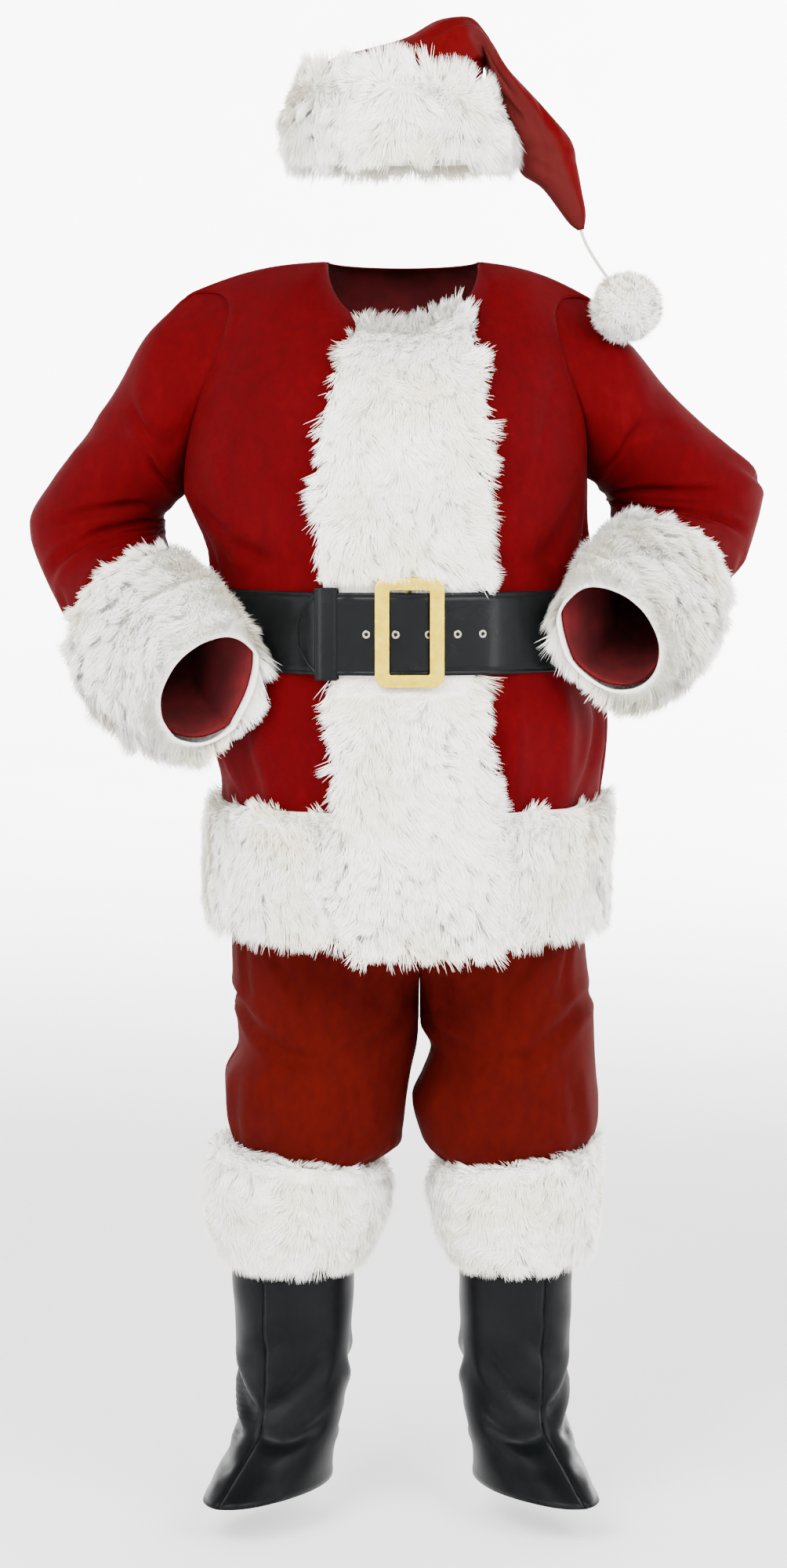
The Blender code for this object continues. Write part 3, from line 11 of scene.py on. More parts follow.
import bpy
import numpy as np
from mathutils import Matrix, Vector

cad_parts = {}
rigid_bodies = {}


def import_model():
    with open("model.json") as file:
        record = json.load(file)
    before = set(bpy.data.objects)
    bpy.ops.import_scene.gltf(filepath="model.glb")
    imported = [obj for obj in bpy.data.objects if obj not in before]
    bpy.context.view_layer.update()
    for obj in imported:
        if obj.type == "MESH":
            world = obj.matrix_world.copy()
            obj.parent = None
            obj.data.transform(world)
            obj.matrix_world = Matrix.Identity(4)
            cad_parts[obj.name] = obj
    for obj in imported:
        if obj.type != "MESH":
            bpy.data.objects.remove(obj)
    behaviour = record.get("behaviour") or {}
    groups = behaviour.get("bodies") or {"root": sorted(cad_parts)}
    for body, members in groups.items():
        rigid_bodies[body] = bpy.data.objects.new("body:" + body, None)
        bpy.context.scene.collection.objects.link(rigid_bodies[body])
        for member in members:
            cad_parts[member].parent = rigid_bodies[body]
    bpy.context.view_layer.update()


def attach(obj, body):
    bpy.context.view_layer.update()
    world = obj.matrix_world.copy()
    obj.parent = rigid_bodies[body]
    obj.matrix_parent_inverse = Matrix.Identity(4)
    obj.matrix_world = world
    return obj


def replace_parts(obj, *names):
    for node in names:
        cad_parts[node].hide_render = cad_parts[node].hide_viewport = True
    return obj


for old in list(bpy.data.objects):
    bpy.data.objects.remove(old, do_unlink=True)

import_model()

HOLD = 1.500  # height of the frame's origin above the floor
SEAM = 0.0003  # gap between pieces
CLOTH, VINYL = 0.0020, 0.0016  # thickness of velvet, and of the boot tops
MM = 0.001
SIDES = ((-1, "right"), (1, "left"))  # the wearer's
SQUARENESS = 2.3  # exponent of the body's sections; 2 is an ellipse


def table(columns, *rows):
    """Named columns of a short table."""
    data = np.array(rows, float)
    return {name: data[:, i] for i, name in enumerate(columns.split())}


def follow(x, xs, ys):
    """A smooth curve through (xs, ys): cubic pieces whose slopes are the mean of the chords beside them.
    ys may be rows of points, and the curve is then theirs, with x along the first axis."""
    x, xs, ys = (np.asarray(values, float) for values in (x, xs, ys))
    more = (1,) * (ys.ndim - 1)
    chords = np.diff(ys, axis=0) / np.diff(xs).reshape(-1, *more)
    inner = np.where(chords[1:] * chords[:-1] > 0, (chords[1:] + chords[:-1]) / 2, 0.0)
    slopes = np.concatenate([chords[:1], inner, chords[-1:]])
    k = np.clip(np.searchsorted(xs, x, side="right") - 1, 0, len(xs) - 2)
    span = np.reshape(xs[k + 1] - xs[k], x.shape + more)
    t = np.clip(np.reshape(x - xs[k], x.shape + more) / span, 0.0, 1.0)
    return (
        ys[k] * (1 + 2 * t) * (1 - t) ** 2
        + slopes[k] * span * t * (1 - t) ** 2
        + ys[k + 1] * t**2 * (3 - 2 * t)
        + slopes[k + 1] * span * t**2 * (t - 1)
    )


def ease(x):
    """0 below 0, 1 above 1, and a smooth step between."""
    x = np.clip(x, 0.0, 1.0)
    return x * x * (3 - 2 * x)


def unit(v):
    """Vectors of length 1 along the given ones."""
    return v / np.maximum(np.linalg.norm(v, axis=-1, keepdims=True), 1e-12)


def power(x, exponent):
    """The power of x's size, with x's sign."""
    return np.sign(x) * np.abs(x) ** exponent


def finer(values, times):
    """The values, with times steps between each two of them."""
    values = np.asarray(values, float)
    index = np.arange(len(values))
    return follow(np.linspace(0, len(values) - 1, (len(values) - 1) * times + 1), index, values)


def read(rows, x, *names):
    """The named columns of a table at x, which is a value of its first column."""
    first = next(iter(rows.values()))
    return [follow(x, first, rows[name]) for name in names]


def joined(*parts):
    """Numbers joined into points, along a new last axis."""
    return np.stack(np.broadcast_arrays(*parts), axis=-1)


def bell(x):
    """1 at 0, and smoothly down to 0 on both sides."""
    return np.exp(-(x**2))


def full_turn(count):
    """Angles that divide a full turn evenly."""
    return np.linspace(0, 2 * np.pi, count, endpoint=False)


def wave(x, y, seed, size):
    """Smooth unevenness between about -1 and 1 with swells of that size: a sum of crossing sine waves."""
    random = np.random.default_rng(seed)
    total = 0.0
    for _ in range(6):
        heading, length, phase = random.random(3) * (2 * np.pi, 0.8, 2 * np.pi) + (0, 0.7, 0)
        ahead = x * np.cos(heading) + y * np.sin(heading)
        total = total + np.sin(ahead * 2 * np.pi / (size * length) + phase)
    return total / 3.2


def creases(a, b, marks, across=1.0, along=1.0):
    """How far each crease of a table moves the cloth at (a, b). A crease is a trough between two places,
    bowed sideways, that fades at both ends and has a swell on each side; its second place's units
    are turned to metres by across, and its first's by along."""
    moved = np.zeros(np.broadcast(a, b).shape)
    for a0, b0, a1, b1, bow, width, depth in zip(*marks.values()):
        da, db = (a1 - a0) * along, (b1 - b0) * across
        length = np.hypot(da, db)
        pa, pb = (a - a0) * along, (b - b0) * across
        share = (pa * da + pb * db) / length**2
        aside = (pa * db - pb * da) / length + bow * (1 - (2 * share - 1) ** 2)
        fade = ease(share / 0.35 + 0.5) * ease((1 - share) / 0.35 + 0.5)
        at = aside / width
        moved += depth * fade * (0.45 * bell(np.abs(at) - 1.9) - bell(at))
    return moved


# ---------------------------------------------------------------- meshes


def grid_quads(rows, columns, wrap):
    """The four corners of each cell of a grid, which a wrapped one also has between last and first column."""
    across = columns if wrap else columns - 1
    r, c = (part.ravel() for part in np.meshgrid(np.arange(rows - 1), np.arange(across), indexing="ij"))
    low, high, beside = r * columns, (r + 1) * columns, (c + 1) % columns
    return np.stack([low + c, low + beside, high + beside, high + c], axis=1)


def grid_normals(points, wrap):
    """Unit normals of a grid: at each point, the mean of the normals of the cells round it."""
    beside = np.roll(points, -1, axis=1) if wrap else points[:, 1:]
    here = points if wrap else points[:, :-1]
    cells = unit(np.cross(beside[1:] - here[:-1], here[1:] - beside[:-1]))
    cells = np.pad(cells, ((1, 1), (0, 0), (0, 0)))
    cells = cells + np.roll(cells, 1, axis=1) if wrap else np.pad(cells, ((0, 0), (1, 1), (0, 0)))
    if not wrap:
        cells = cells[:, :-1] + cells[:, 1:]
    return unit(cells[:-1] + cells[1:])


def outward(points):
    """Normals of a tube's grid that point away from its middle line."""
    normals = grid_normals(points, True)
    from_middle = points - points.mean(axis=1, keepdims=True)
    return normals * np.sign(np.sum(normals * from_middle))


def surface_normal(point, a, b, *side):
    """Unit normals of a surface point(a, b, *side), by small differences."""
    d = 1e-3
    up = point(a, b + d, *side) - point(a, b - d, *side)
    across = point(a + d, b, *side) - point(a - d, b, *side)
    return unit(np.cross(across, up))


def add_mesh(name, points, faces, finishes, uv=None):
    """A smooth-shaded object at the origin, from points at heights above the floor and an array of faces
    with the same number of corners. uv holds a pair of numbers for each point."""
    mesh = bpy.data.meshes.new(name)
    lowered = np.asarray(points, float).reshape(-1, 3) - (0.0, 0.0, HOLD)
    mesh.vertices.add(len(lowered))
    mesh.vertices.foreach_set("co", lowered.astype(np.float32).ravel())
    mesh.loops.add(faces.size)
    mesh.loops.foreach_set("vertex_index", faces.astype(np.int32).ravel())
    mesh.polygons.add(len(faces))
    mesh.polygons.foreach_set("loop_start", np.arange(0, faces.size, faces.shape[1], dtype=np.int32))
    mesh.update(calc_edges=True)
    if uv is not None:
        layer = mesh.uv_layers.new(name="lay")
        layer.data.foreach_set("uv", uv.reshape(-1, 2)[faces.ravel()].astype(np.float32).ravel())
    mesh.shade_smooth()
    piece = bpy.data.objects.new(name, mesh)
    bpy.context.scene.collection.objects.link(piece)
    for finish in finishes:
        mesh.materials.append(finish)
    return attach(piece, "root") or piece


def add_grid(name, points, out, finishes, wrap=False, uv=None):
    """A one-layer object from a grid of points, whose faces turn to the side that out points to."""
    quads = grid_quads(*points.shape[:2], wrap)
    inwards = np.sum(grid_normals(points, wrap) * out) < 0
    return add_mesh(name, points, quads[:, ::-1] if inwards else quads, finishes, uv)


def thicken(piece, thickness, lining=0):
    """Gives a one-layer piece its thickness inwards; lining is how many materials further its back's is."""
    solid = piece.modifiers.new("thickness", "SOLIDIFY")
    solid.thickness, solid.offset = thickness, -1.0
    solid.material_offset, solid.use_even_offset = lining, False
    return piece


def add_cloth(name, kind, slot, points, out, finishes, thickness, edges="left right", **lay):
    """Cloth or vinyl in place of its solid: a grid of points, drawn back from its seams and thick inwards,
    with the first finish outside and the last one inside."""
    piece = add_grid(f"{name}_{kind}", seam_gap(points, edges), out, finishes, **lay)
    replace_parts(thicken(piece, thickness, len(finishes) - 1), name)
    return piece


def seam_gap(points, sides, gap=SEAM / 2):
    """Draws the named edges of a grid back from their seams."""
    moves = {"left": (np.s_[:, 0], np.s_[:, 1]), "right": (np.s_[:, -1], np.s_[:, -2]),
             "bottom": (np.s_[0], np.s_[1]), "top": (np.s_[-1], np.s_[-2])}
    points = points.copy()
    for side in sides.split():
        edge, neighbour = moves[side]
        points[edge] += gap * unit(points[neighbour] - points[edge])
    return points


def seam_dip(across, reach=0.0045, depth=0.0016):
    """How far cloth turns in at a seam, from its distance to it."""
    return -depth * bell(across / reach)


def lie(points):
    """How far each point of a grid is along its row and up its column, in metres."""
    steps = np.linalg.norm(np.diff(points, axis=1), axis=-1)
    across = np.pad(np.cumsum(steps, axis=1), ((0, 0), (1, 0)))
    rises = np.linalg.norm(np.diff(points, axis=0), axis=-1)
    return joined(across, np.pad(np.cumsum(rises, axis=0), ((1, 0), (0, 0))))


# ---------------------------------------------------------------- materials


def linear(text):
    """A linear colour from an sRGB hex one."""
    value = np.array([int(text[i : i + 2], 16) for i in (1, 3, 5)]) / 255
    return (*np.where(value <= 0.04045, value / 12.92, ((value + 0.055) / 1.055) ** 2.4).tolist(), 1.0)


def node(tree, kind, sockets=(), stops=(), **settings):
    """Adds a shader node. sockets pairs an input's name or number with a value, or with the node or output
    linked to it. stops are the places and hex colours of a colour ramp."""
    made = tree.nodes.new("ShaderNode" + kind)
    for key, value in settings.items():
        setattr(made, key, value)
    for key, value in dict(sockets).items():
        if isinstance(value, bpy.types.Node):
            value = value.outputs[0]
        if isinstance(value, bpy.types.NodeSocket):
            tree.links.new(value, made.inputs[key])
        else:
            made.inputs[key].default_value = value
    elements = made.color_ramp.elements if stops else ()
    for _ in stops[2:]:
        elements.new(0.5)
    for element, (where, colour) in zip(elements, stops):
        element.position, element.color = where, linear(colour)
    return made


def lumps(tree, place, millimetres, detail=2.0, stretch=(1, 1, 1)):
    """A pattern of soft lumps of that real size, longer along an axis where stretch is more than 1."""
    placed = node(tree, "Mapping", {"Vector": place, "Scale": tuple(1 / s for s in stretch)})
    sockets = {"Vector": placed, "Scale": 1000 / millimetres, "Detail": detail}
    return node(tree, "TexNoise", sockets).outputs["Fac"]


def mottled(tree, place, millimetres, dark, light, detail=2.0):
    """Two colours mixed in soft lumps of that real size."""
    pattern = lumps(tree, place, millimetres, detail)
    return node(tree, "ValToRGB", {"Fac": pattern}, ((0.3, dark), (0.7, light)))


def finish(name, build):
    """A material of one Principled shader, whose sockets build(tree, place) gives from Object coordinates."""
    made = bpy.data.materials.new(name)
    made.use_nodes = True
    tree = made.node_tree
    tree.nodes.clear()
    shader = node(tree, "BsdfPrincipled", build(tree, node(tree, "TexCoord").outputs["Object"]))
    node(tree, "OutputMaterial", {"Surface": shader})
    return made


def velvet(dark, middle, light, sheen, turned=None):
    """Cut-pile velvet: brushed patches a hand wide, a fine pile grain, and a soft sheen at the edges.
    Where the UV's first number is 1, the turned colour is painted in: painted shade, duller and a little
    darker, for the shaded underside of a fold, where the nap lies the other way."""

    def build(tree, place):
        """The sockets of the shader in these colours."""
        brushed = lumps(tree, place, 12, stretch=(1, 1, 2))
        patches = lumps(tree, place, 110, stretch=(1, 1, 1.6))
        both = node(tree, "Math", {0: patches, 1: brushed}, operation="ADD")
        share = node(tree, "Math", {0: both, 1: 0.5}, operation="MULTIPLY")
        colour = node(tree, "ValToRGB", {"Fac": share}, ((0.30, dark), (0.50, middle), (0.72, light)))
        # painted shade: where the UV's first number is 1, the fold's shaded underside takes the turned colour
        if turned:
            lay = node(tree, "SeparateXYZ", {0: node(tree, "UVMap", uv_map="lay")})
            either = {"Factor": lay, "A": colour, "B": linear(turned)}
            colour = node(tree, "Mix", either, data_type="RGBA").outputs["Result"]
        fine = {"Height": lumps(tree, place, 0.9), "Distance": 0.30 * MM, "Strength": 0.55}
        nap = {"Height": brushed, "Distance": 0.5 * MM, "Strength": 0.20, "Normal": node(tree, "Bump", fine)}
        return {"Base Color": colour, "Roughness": 0.85, "Specular IOR Level": 0.03, "Sheen Weight": 0.05,
                "Sheen Roughness": 0.35, "Sheen Tint": linear(sheen), "Normal": node(tree, "Bump", nap)}

    return build


def knit_back(tree, place):
    """The velvet's plain knitted back, as seen down the neck and up the sleeves: duller, with no pile."""
    dull = node(tree, "ValToRGB", {"Fac": lumps(tree, place, 40)}, ((0.35, "#3A090C"), (0.65, "#4C0D10")))
    ribs = node(tree, "TexWave", {"Vector": place, "Scale": 160.0, "Distortion": 1.0}).outputs["Fac"]
    return {
        "Base Color": dull,
        "Roughness": 0.9,
        "Specular IOR Level": 0.15,
        "Normal": node(tree, "Bump", {"Height": ribs, "Distance": 0.25 * MM, "Strength": 0.4}),
    }


def long_pile(tree, place):
    """White modacrylic pile: painted shade at the roots, bright at the tips, each lock a little different and
    ivory in soft patches. The UV's first number is the blade's own, and its second runs from root to tip."""
    lay = node(tree, "SeparateXYZ", {0: node(tree, "UVMap", uv_map="lay")})
    own = node(tree, "Math", {0: lay, 1: 0.34}, operation="MULTIPLY")
    share = node(tree, "Math", {0: lay.outputs["Y"], 1: own}, operation="ADD")
    # the ramp's dark grey root is painted shade, for the shade that falls down between the locks to their
    # roots
    white = ((0.0, "#A9A496"), (0.40, "#DEDBD0"), (0.85, "#F6F4EE"), (1.0, "#FEFDFB"))
    ivory = ((0.42, "#FFFFFF"), (0.68, "#F7F1E0"))
    both = {"Factor": 1.0, "A": node(tree, "ValToRGB", {"Fac": share}, white),
            "B": node(tree, "ValToRGB", {"Fac": lumps(tree, place, 90)}, ivory)}
    warmed = node(tree, "Mix", both, data_type="RGBA", blend_type="MULTIPLY").outputs["Result"]
    return {"Base Color": warmed, "Roughness": 0.62, "Specular IOR Level": 0.25, "Sheen Weight": 0.35,
            "Sheen Roughness": 0.5}


def pile_bed(tree, place):
    """The mass of pile under the tips, matted in short strands."""
    strands = lumps(tree, place, 2.4, detail=3.0, stretch=(1, 1, 5))
    return {
        "Base Color": node(tree, "ValToRGB", {"Fac": strands}, ((0.30, "#DEDBD2"), (0.70, "#F4F3EE"))),
        "Roughness": 0.95,
        "Specular IOR Level": 0.1,
        "Normal": node(tree, "Bump", {"Height": strands, "Distance": 3.0 * MM, "Strength": 0.8}),
    }


def belt_gloss(tree, place):
    """Glossy black vinyl with a fine pressed grain and faint wear in its shine."""
    wear = {"Value": lumps(tree, place, 22, detail=3.0), "To Min": 0.19, "To Max": 0.30}
    grain = {"Height": lumps(tree, place, 1.1, detail=3.0), "Distance": 0.12 * MM, "Strength": 0.22}
    return {
        "Base Color": mottled(tree, place, 30, "#040506", "#07090A"),
        "Roughness": node(tree, "MapRange", wear),
        "Specular IOR Level": 0.07,
        "Coat Weight": 0.04,
        "Coat Roughness": 0.10,
        "Normal": node(tree, "Bump", grain),
    }


def boot_satin(tree, place):
    """Satin black vinyl with a pebbled grain, a little greyer where it is stretched."""
    wear = {"Value": lumps(tree, place, 35, detail=3.0), "To Min": 0.30, "To Max": 0.40}
    dents = {"Height": lumps(tree, place, 9, detail=3.0), "Distance": 0.5 * MM, "Strength": 0.28}
    pebbles = {"Height": node(tree, "TexVoronoi", {"Vector": place, "Scale": 900.0}), "Distance": 0.16 * MM,
               "Strength": 0.40, "Normal": node(tree, "Bump", dents)}
    return {
        "Base Color": mottled(tree, place, 60, "#040506", "#080A0B", detail=3.0),
        "Roughness": node(tree, "MapRange", wear),
        "Specular IOR Level": 0.065,
        "Normal": node(tree, "Bump", pebbles),
    }


def satin_gold(tree, place):
    """Satin gold plate, with hair-fine brushing along its face."""
    brushing = lumps(tree, place, 0.8, stretch=(1, 1, 14))
    return {
        "Base Color": mottled(tree, place, 12, "#BFA31C", "#D8BE34"),
        "Metallic": 1.0,
        "Roughness": node(tree, "MapRange", {"Value": brushing, "To Min": 0.20, "To Max": 0.32}),
        "Normal": node(tree, "Bump", {"Height": brushing, "Distance": 0.03 * MM, "Strength": 0.3}),
    }


def nickel(tree, place):
    """Nickel plate, a little tarnished."""
    return {"Base Color": mottled(tree, place, 3, "#78746A", "#9C988C"), "Metallic": 1.0, "Roughness": 0.22}


def twisted_cord(tree, place):
    """White twisted cotton cord."""
    fibres = {"Height": lumps(tree, place, 0.5), "Distance": 0.15 * MM, "Strength": 0.6}
    return {
        "Base Color": mottled(tree, place, 1.2, "#9A968A", "#D2CEC2"),
        "Roughness": 0.85,
        "Normal": node(tree, "Bump", fibres),
    }


JACKET_VELVET = finish("jacket_velvet_pile", velvet("#370103", "#3E0104", "#450205", "#A81A20"))
TROUSER_VELVET = finish("trouser_velvet_pile", velvet("#300302", "#360402", "#3C0503", "#8C201A"))
# the hat's last colour is painted shade for the folded tail's shaded underside, where its nap is turned
HAT_VELVET = finish("hat_velvet_pile", velvet("#3C0103", "#430204", "#4A0305", "#B02020", "#3E1110"))
KNIT_BACK = finish("velvet_back", knit_back)
LONG_PILE = finish("long_white_pile", long_pile)
PILE_BED = finish("matted_white_pile", pile_bed)
BELT_VINYL = finish("glossy_belt_vinyl", belt_gloss)
BOOT_VINYL = finish("satin_boot_vinyl", boot_satin)
GOLD = finish("satin_gold_plate", satin_gold)
NICKEL = finish("bright_nickel_plate", nickel)
CORD = finish("white_twisted_cord", twisted_cord)


# ---------------------------------------------------------------- the jacket's form

ARMPIT = 1.268
JACKET = table(
    "height left right front back",
    (0.700, -0.2190, 0.2290, 0.238, 0.172),
    (0.800, -0.2200, 0.2300, 0.242, 0.173),
    (0.907, -0.2190, 0.2380, 0.246, 0.175),
    (0.985, -0.2350, 0.2450, 0.253, 0.178),
    (1.045, -0.2330, 0.2340, 0.241, 0.165),
    (1.160, -0.2330, 0.2340, 0.241, 0.165),
    (1.205, -0.2380, 0.2230, 0.243, 0.168),
    (1.268, -0.2625, 0.2215, 0.218, 0.166),
)
ARMPIT_SLOPE = 0.039  # the wearer's left armpit is the higher one
BELT_TOP = 1.160
NECK_HALF_WIDTH, NECK_HEIGHT, NECK_FORE_AFT = 0.090, 1.537, 0.018  # where it meets the shoulder seam
NECK_FRONT, NECK_FRONT_HEIGHT = -0.098, 1.450
NECK_BACK, NECK_BACK_HEIGHT = 0.092, 1.532
NECK_ANGLE = np.radians(40)  # the part of a quarter turn that the neckline takes
SHOULDER_TIP = {-1: (-0.262, 0.012, 1.4965), 1: (0.232, 0.012, 1.489)}
SHOULDER_ARCH = 0.010  # rise of the shoulder seam over the straight line between its ends
SHOULDER_REACH = 0.070  # of the curve that brings the chest in to the shoulder seam
SHOULDER_DROP = 0.010  # how far below the seam that curve's last handle lies
CHEST_CLIMB, CHEST_SPREAD = 0.62, 0.04  # of its first handle: share of the rise, and outwards
SEAM_UP, SEAM_ASIDE = 0.94, 0.34  # the shoulder seam's normal
ARMHOLE_ANGLE = np.radians(27)  # how far the armhole cuts into each panel
RISE = np.array([0.0, 0.07, 0.18, 0.32, 0.50, 0.68, 0.82, 0.93, 1.0])  # rows from armpit to shoulder
STRIP_END, STRIP_TOP = 0.728, 1.600  # heights of its lower end and of the table's last row
STRIP_PRESSED = 0.96  # share of the room under the belt that the strip fills
STRIP = table(
    "height left right pile",
    (STRIP_END, -0.0520, 0.1040, 0.016),
    (0.760, -0.0600, 0.1050, 0.026),
    (0.900, -0.0740, 0.1040, 0.028),
    (0.970, -0.0780, 0.0900, 0.028),
    (1.030, -0.0850, 0.0870, 0.022),
    (1.052, -0.0870, 0.0870, 0.0065),
    (1.153, -0.0930, 0.0900, 0.0065),
    (1.175, -0.0950, 0.0920, 0.022),
    (1.215, -0.0985, 0.0920, 0.027),
    (1.268, -0.0960, 0.0900, 0.026),
    (STRIP_TOP, -0.0960, 0.0900, 0.024),
)
HEM_BAND = table(
    "height pile",
    (0.742, 0.013),
    (0.757, 0.018),
    (0.820, 0.020),
    (0.885, 0.018),
    (0.903, 0.007),
)
BELT_BAND = (1.055, 1.150)
BELT_MIDDLE = sum(BELT_BAND) / 2
STRIP_UNDER_BELT = 0.0070
UNDER_STRIP = 0.024  # radians that the hem band runs on under each edge of the strip


def jacket_section(theta, height):
    """A closed section of the jacket at a height: a squared ellipse, deeper in front than behind."""
    left, right, front, back = read(JACKET, height, "left", "right", "front", "back")
    exponent = 2 / SQUARENESS
    x = (left + right) / 2 + (right - left) / 2 * power(np.sin(theta), exponent)
    c = np.cos(theta)
    y = -np.where(c > 0, front, back) * power(c, exponent)
    lift = ARMPIT_SLOPE * x * ease((height - BELT_TOP) / (ARMPIT - BELT_TOP))
    return joined(x, y, height + lift)


def front_angle(x, height):
    """The jacket's angle at a place x across its front, found from its section at a height."""
    left, right = read(JACKET, height, "left", "right")
    return np.arcsin(power((x - (left + right) / 2) / ((right - left) / 2), SQUARENESS / 2))


def jacket_top(theta):
    """The upper edge of the panels: round the neck first, then along the shoulder seam to its tip."""
    turn = np.abs(theta)
    side = np.where(theta < 0, -1.0, 1.0)
    ahead = turn <= np.pi / 2
    turn = np.where(ahead, turn, np.pi - turn)
    around = np.clip(turn / NECK_ANGLE, 0, 1) * np.pi / 2
    reach = np.where(ahead, NECK_FRONT, NECK_BACK) - NECK_FORE_AFT
    low = np.where(ahead, NECK_FRONT_HEIGHT, NECK_BACK_HEIGHT)
    neck = joined(side * NECK_HALF_WIDTH * np.sin(around), NECK_FORE_AFT + reach * np.cos(around),
                  low + (NECK_HEIGHT - low) * (1 - np.cos(around)))
    along = np.clip((turn - NECK_ANGLE) / (np.pi / 2 - NECK_ANGLE), 0, 1)[..., None]
    tip = np.where(side[..., None] < 0, SHOULDER_TIP[-1], SHOULDER_TIP[1])
    corner = joined(side * NECK_HALF_WIDTH, NECK_FORE_AFT, NECK_HEIGHT)
    seam = corner + (tip - corner) * along
    seam[..., 2] += SHOULDER_ARCH * np.sin(np.pi * along[..., 0])
    return np.where(along > 0, seam, neck)


def jacket_point(theta, v):
    """The jacket's outer surface. v is a height up to the armpit, then ARMPIT plus 0 to 1 up to the
    neckline and shoulder seam, along a curve that leaves the chest upwards and arrives level."""
    theta, v = np.broadcast_arrays(np.asarray(theta, float), np.asarray(v, float))
    low = jacket_section(theta, np.minimum(v, ARMPIT))
    start = jacket_section(theta, np.full_like(theta, ARMPIT))
    end = jacket_top(theta)
    s = np.clip(v - ARMPIT, 0, 1)[..., None]
    climb = (end[..., 2:] - start[..., 2:]) * CHEST_CLIMB
    first = start + np.concatenate([start[..., :2] * CHEST_SPREAD, climb], axis=-1)
    turn = np.cos(theta)[..., None]
    reach = SHOULDER_REACH * (0.7 + 0.3 * np.abs(turn))
    outwards = np.concatenate([unit(start[..., :2])[..., :1] * 0.25, -power(turn, 0.4)], axis=-1)
    second = end + np.concatenate([outwards * reach, 0 * climb - SHOULDER_DROP], axis=-1)
    high = start * (1 - s) ** 3 + 3 * first * s * (1 - s) ** 2 + 3 * second * s**2 * (1 - s) + end * s**3
    return np.where(s > 0, high, low)


def jacket_normal(theta, v):
    """Outward unit normals of the jacket, which tend to the shoulder seam's own as they near it."""
    theta, v = np.broadcast_arrays(np.asarray(theta, float), np.asarray(v, float))
    normal = surface_normal(jacket_point, theta, np.minimum(v, ARMPIT + 0.92))
    level = joined(np.sign(theta) * SEAM_ASIDE, 0.0, SEAM_UP)
    turn = np.minimum(np.abs(theta), np.pi - np.abs(theta))
    on_seam = ease((v - ARMPIT - 0.90) / 0.10) * ease((turn - 0.85 * NECK_ANGLE) / (0.15 * NECK_ANGLE))
    return unit(normal * (1 - on_seam[..., None]) + level * on_seam[..., None])


ROWS_BELOW, ROWS_ABOVE = 58, 4  # grid rows up to the armpit, and for each step of RISE above it
FRONT_COLUMNS, BACK_COLUMNS = 38, 72
HEM = 0.745
JACKET_REACH = 0.27  # metres of cloth from the armpit up to the shoulder seam
JACKET_DEGREE, JACKET_RADIAN = 0.0041, 0.235  # metres of cloth for each degree and each radian round the body
GATHERED_ABOVE, GATHERED_BELOW = 0.0032, 0.0036  # how deep the gathers over and under the belt are
JACKET_CREASES = table(
    "up turn up_to turn_to bow width depth",
    (1.262, -68, 1.185, -40, 0.010, 0.010, 0.0050),
    (1.240, -80, 1.120, -58, 0.012, 0.012, 0.0045),
    (1.330, -60, 1.275, -44, -0.006, 0.009, 0.0035),
    (1.258, 66, 1.190, 42, -0.010, 0.010, 0.0045),
    (1.232, 80, 1.150, 56, -0.012, 0.012, 0.0050),
    (1.345, 58, 1.290, 45, 0.006, 0.009, 0.0035),
    (1.200, -52, 1.178, -24, 0.004, 0.007, 0.0030),
    (1.205, 54, 1.180, 30, -0.004, 0.007, 0.0030),
    (0.985, -74, 0.900, -62, 0.006, 0.011, 0.0040),
    (1.010, 70, 0.905, 58, -0.006, 0.011, 0.0040),
    (1.030, -44, 0.930, -40, 0.004, 0.010, 0.0030),
    (1.262, 108, 1.170, 146, 0.014, 0.012, 0.0055),
    (1.248, 100, 1.120, 122, 0.010, 0.012, 0.0045),
    (1.262, 252, 1.180, 216, -0.014, 0.012, 0.0055),
    (1.245, 260, 1.110, 240, -0.010, 0.012, 0.0045),
    (1.400, 128, 1.330, 160, 0.012, 0.012, 0.0035),
    (1.395, 232, 1.340, 204, -0.012, 0.012, 0.0035),
    (1.222, 150, 1.200, 196, 0.006, 0.009, 0.0045),
    (1.192, 176, 1.183, 214, -0.004, 0.007, 0.0035),
    (1.020, 132, 0.910, 126, 0.006, 0.012, 0.0045),
    (1.010, 172, 0.900, 176, -0.005, 0.013, 0.0040),
    (1.020, 224, 0.905, 232, 0.006, 0.012, 0.0045),
)


def gathers(theta, seed):
    """An uneven wave round the body, between about -1 and 1."""
    a, b, c = np.random.default_rng(seed).random(3) * 2 * np.pi
    swing = np.sin(19 * theta + 1.4 * np.sin(3 * theta + a) + b)
    return swing * (0.62 + 0.38 * np.sin(5 * theta + c)) + 0.3 * np.sin(31 * theta + c)


def jacket_folds(theta, v):
    """How far the jacket's creases move it at each place: one by one, drawn in by the belt, and all over."""
    up = np.where(v < ARMPIT, v, ARMPIT + (v - ARMPIT) * JACKET_REACH)
    turn = (np.degrees(theta) + 90) % 360 - 90
    move = creases(up, turn, JACKET_CREASES, JACKET_DEGREE)
    above = bell((v - BELT_TOP) / 0.055) * ease((v - BELT_TOP) / 0.02)
    below = ease((BELT_BAND[0] - v) / 0.05) * (1 - 0.7 * ease((0.93 - v) / 0.10))
    move += GATHERED_ABOVE * gathers(theta, 3) * above + GATHERED_BELOW * gathers(theta, 4) * below
    move += 0.0016 * wave(up, turn * JACKET_DEGREE, 5, 0.13)
    calm = 1 - ease((v - ARMPIT - 0.80) / 0.20)
    level = ease((np.abs(v - BELT_MIDDLE) - 0.046) / 0.016)
    return move * calm * level


def jacket_cloth(theta, v, out=0.0):
    """Points of the creased jacket, moved out, and its normals."""
    theta, v = np.broadcast_arrays(theta, v)
    around = (theta + np.pi) % (2 * np.pi) - np.pi
    normal = jacket_normal(around, v)
    return jacket_point(around, v) + normal * (jacket_folds(theta, v) + out)[..., None], normal


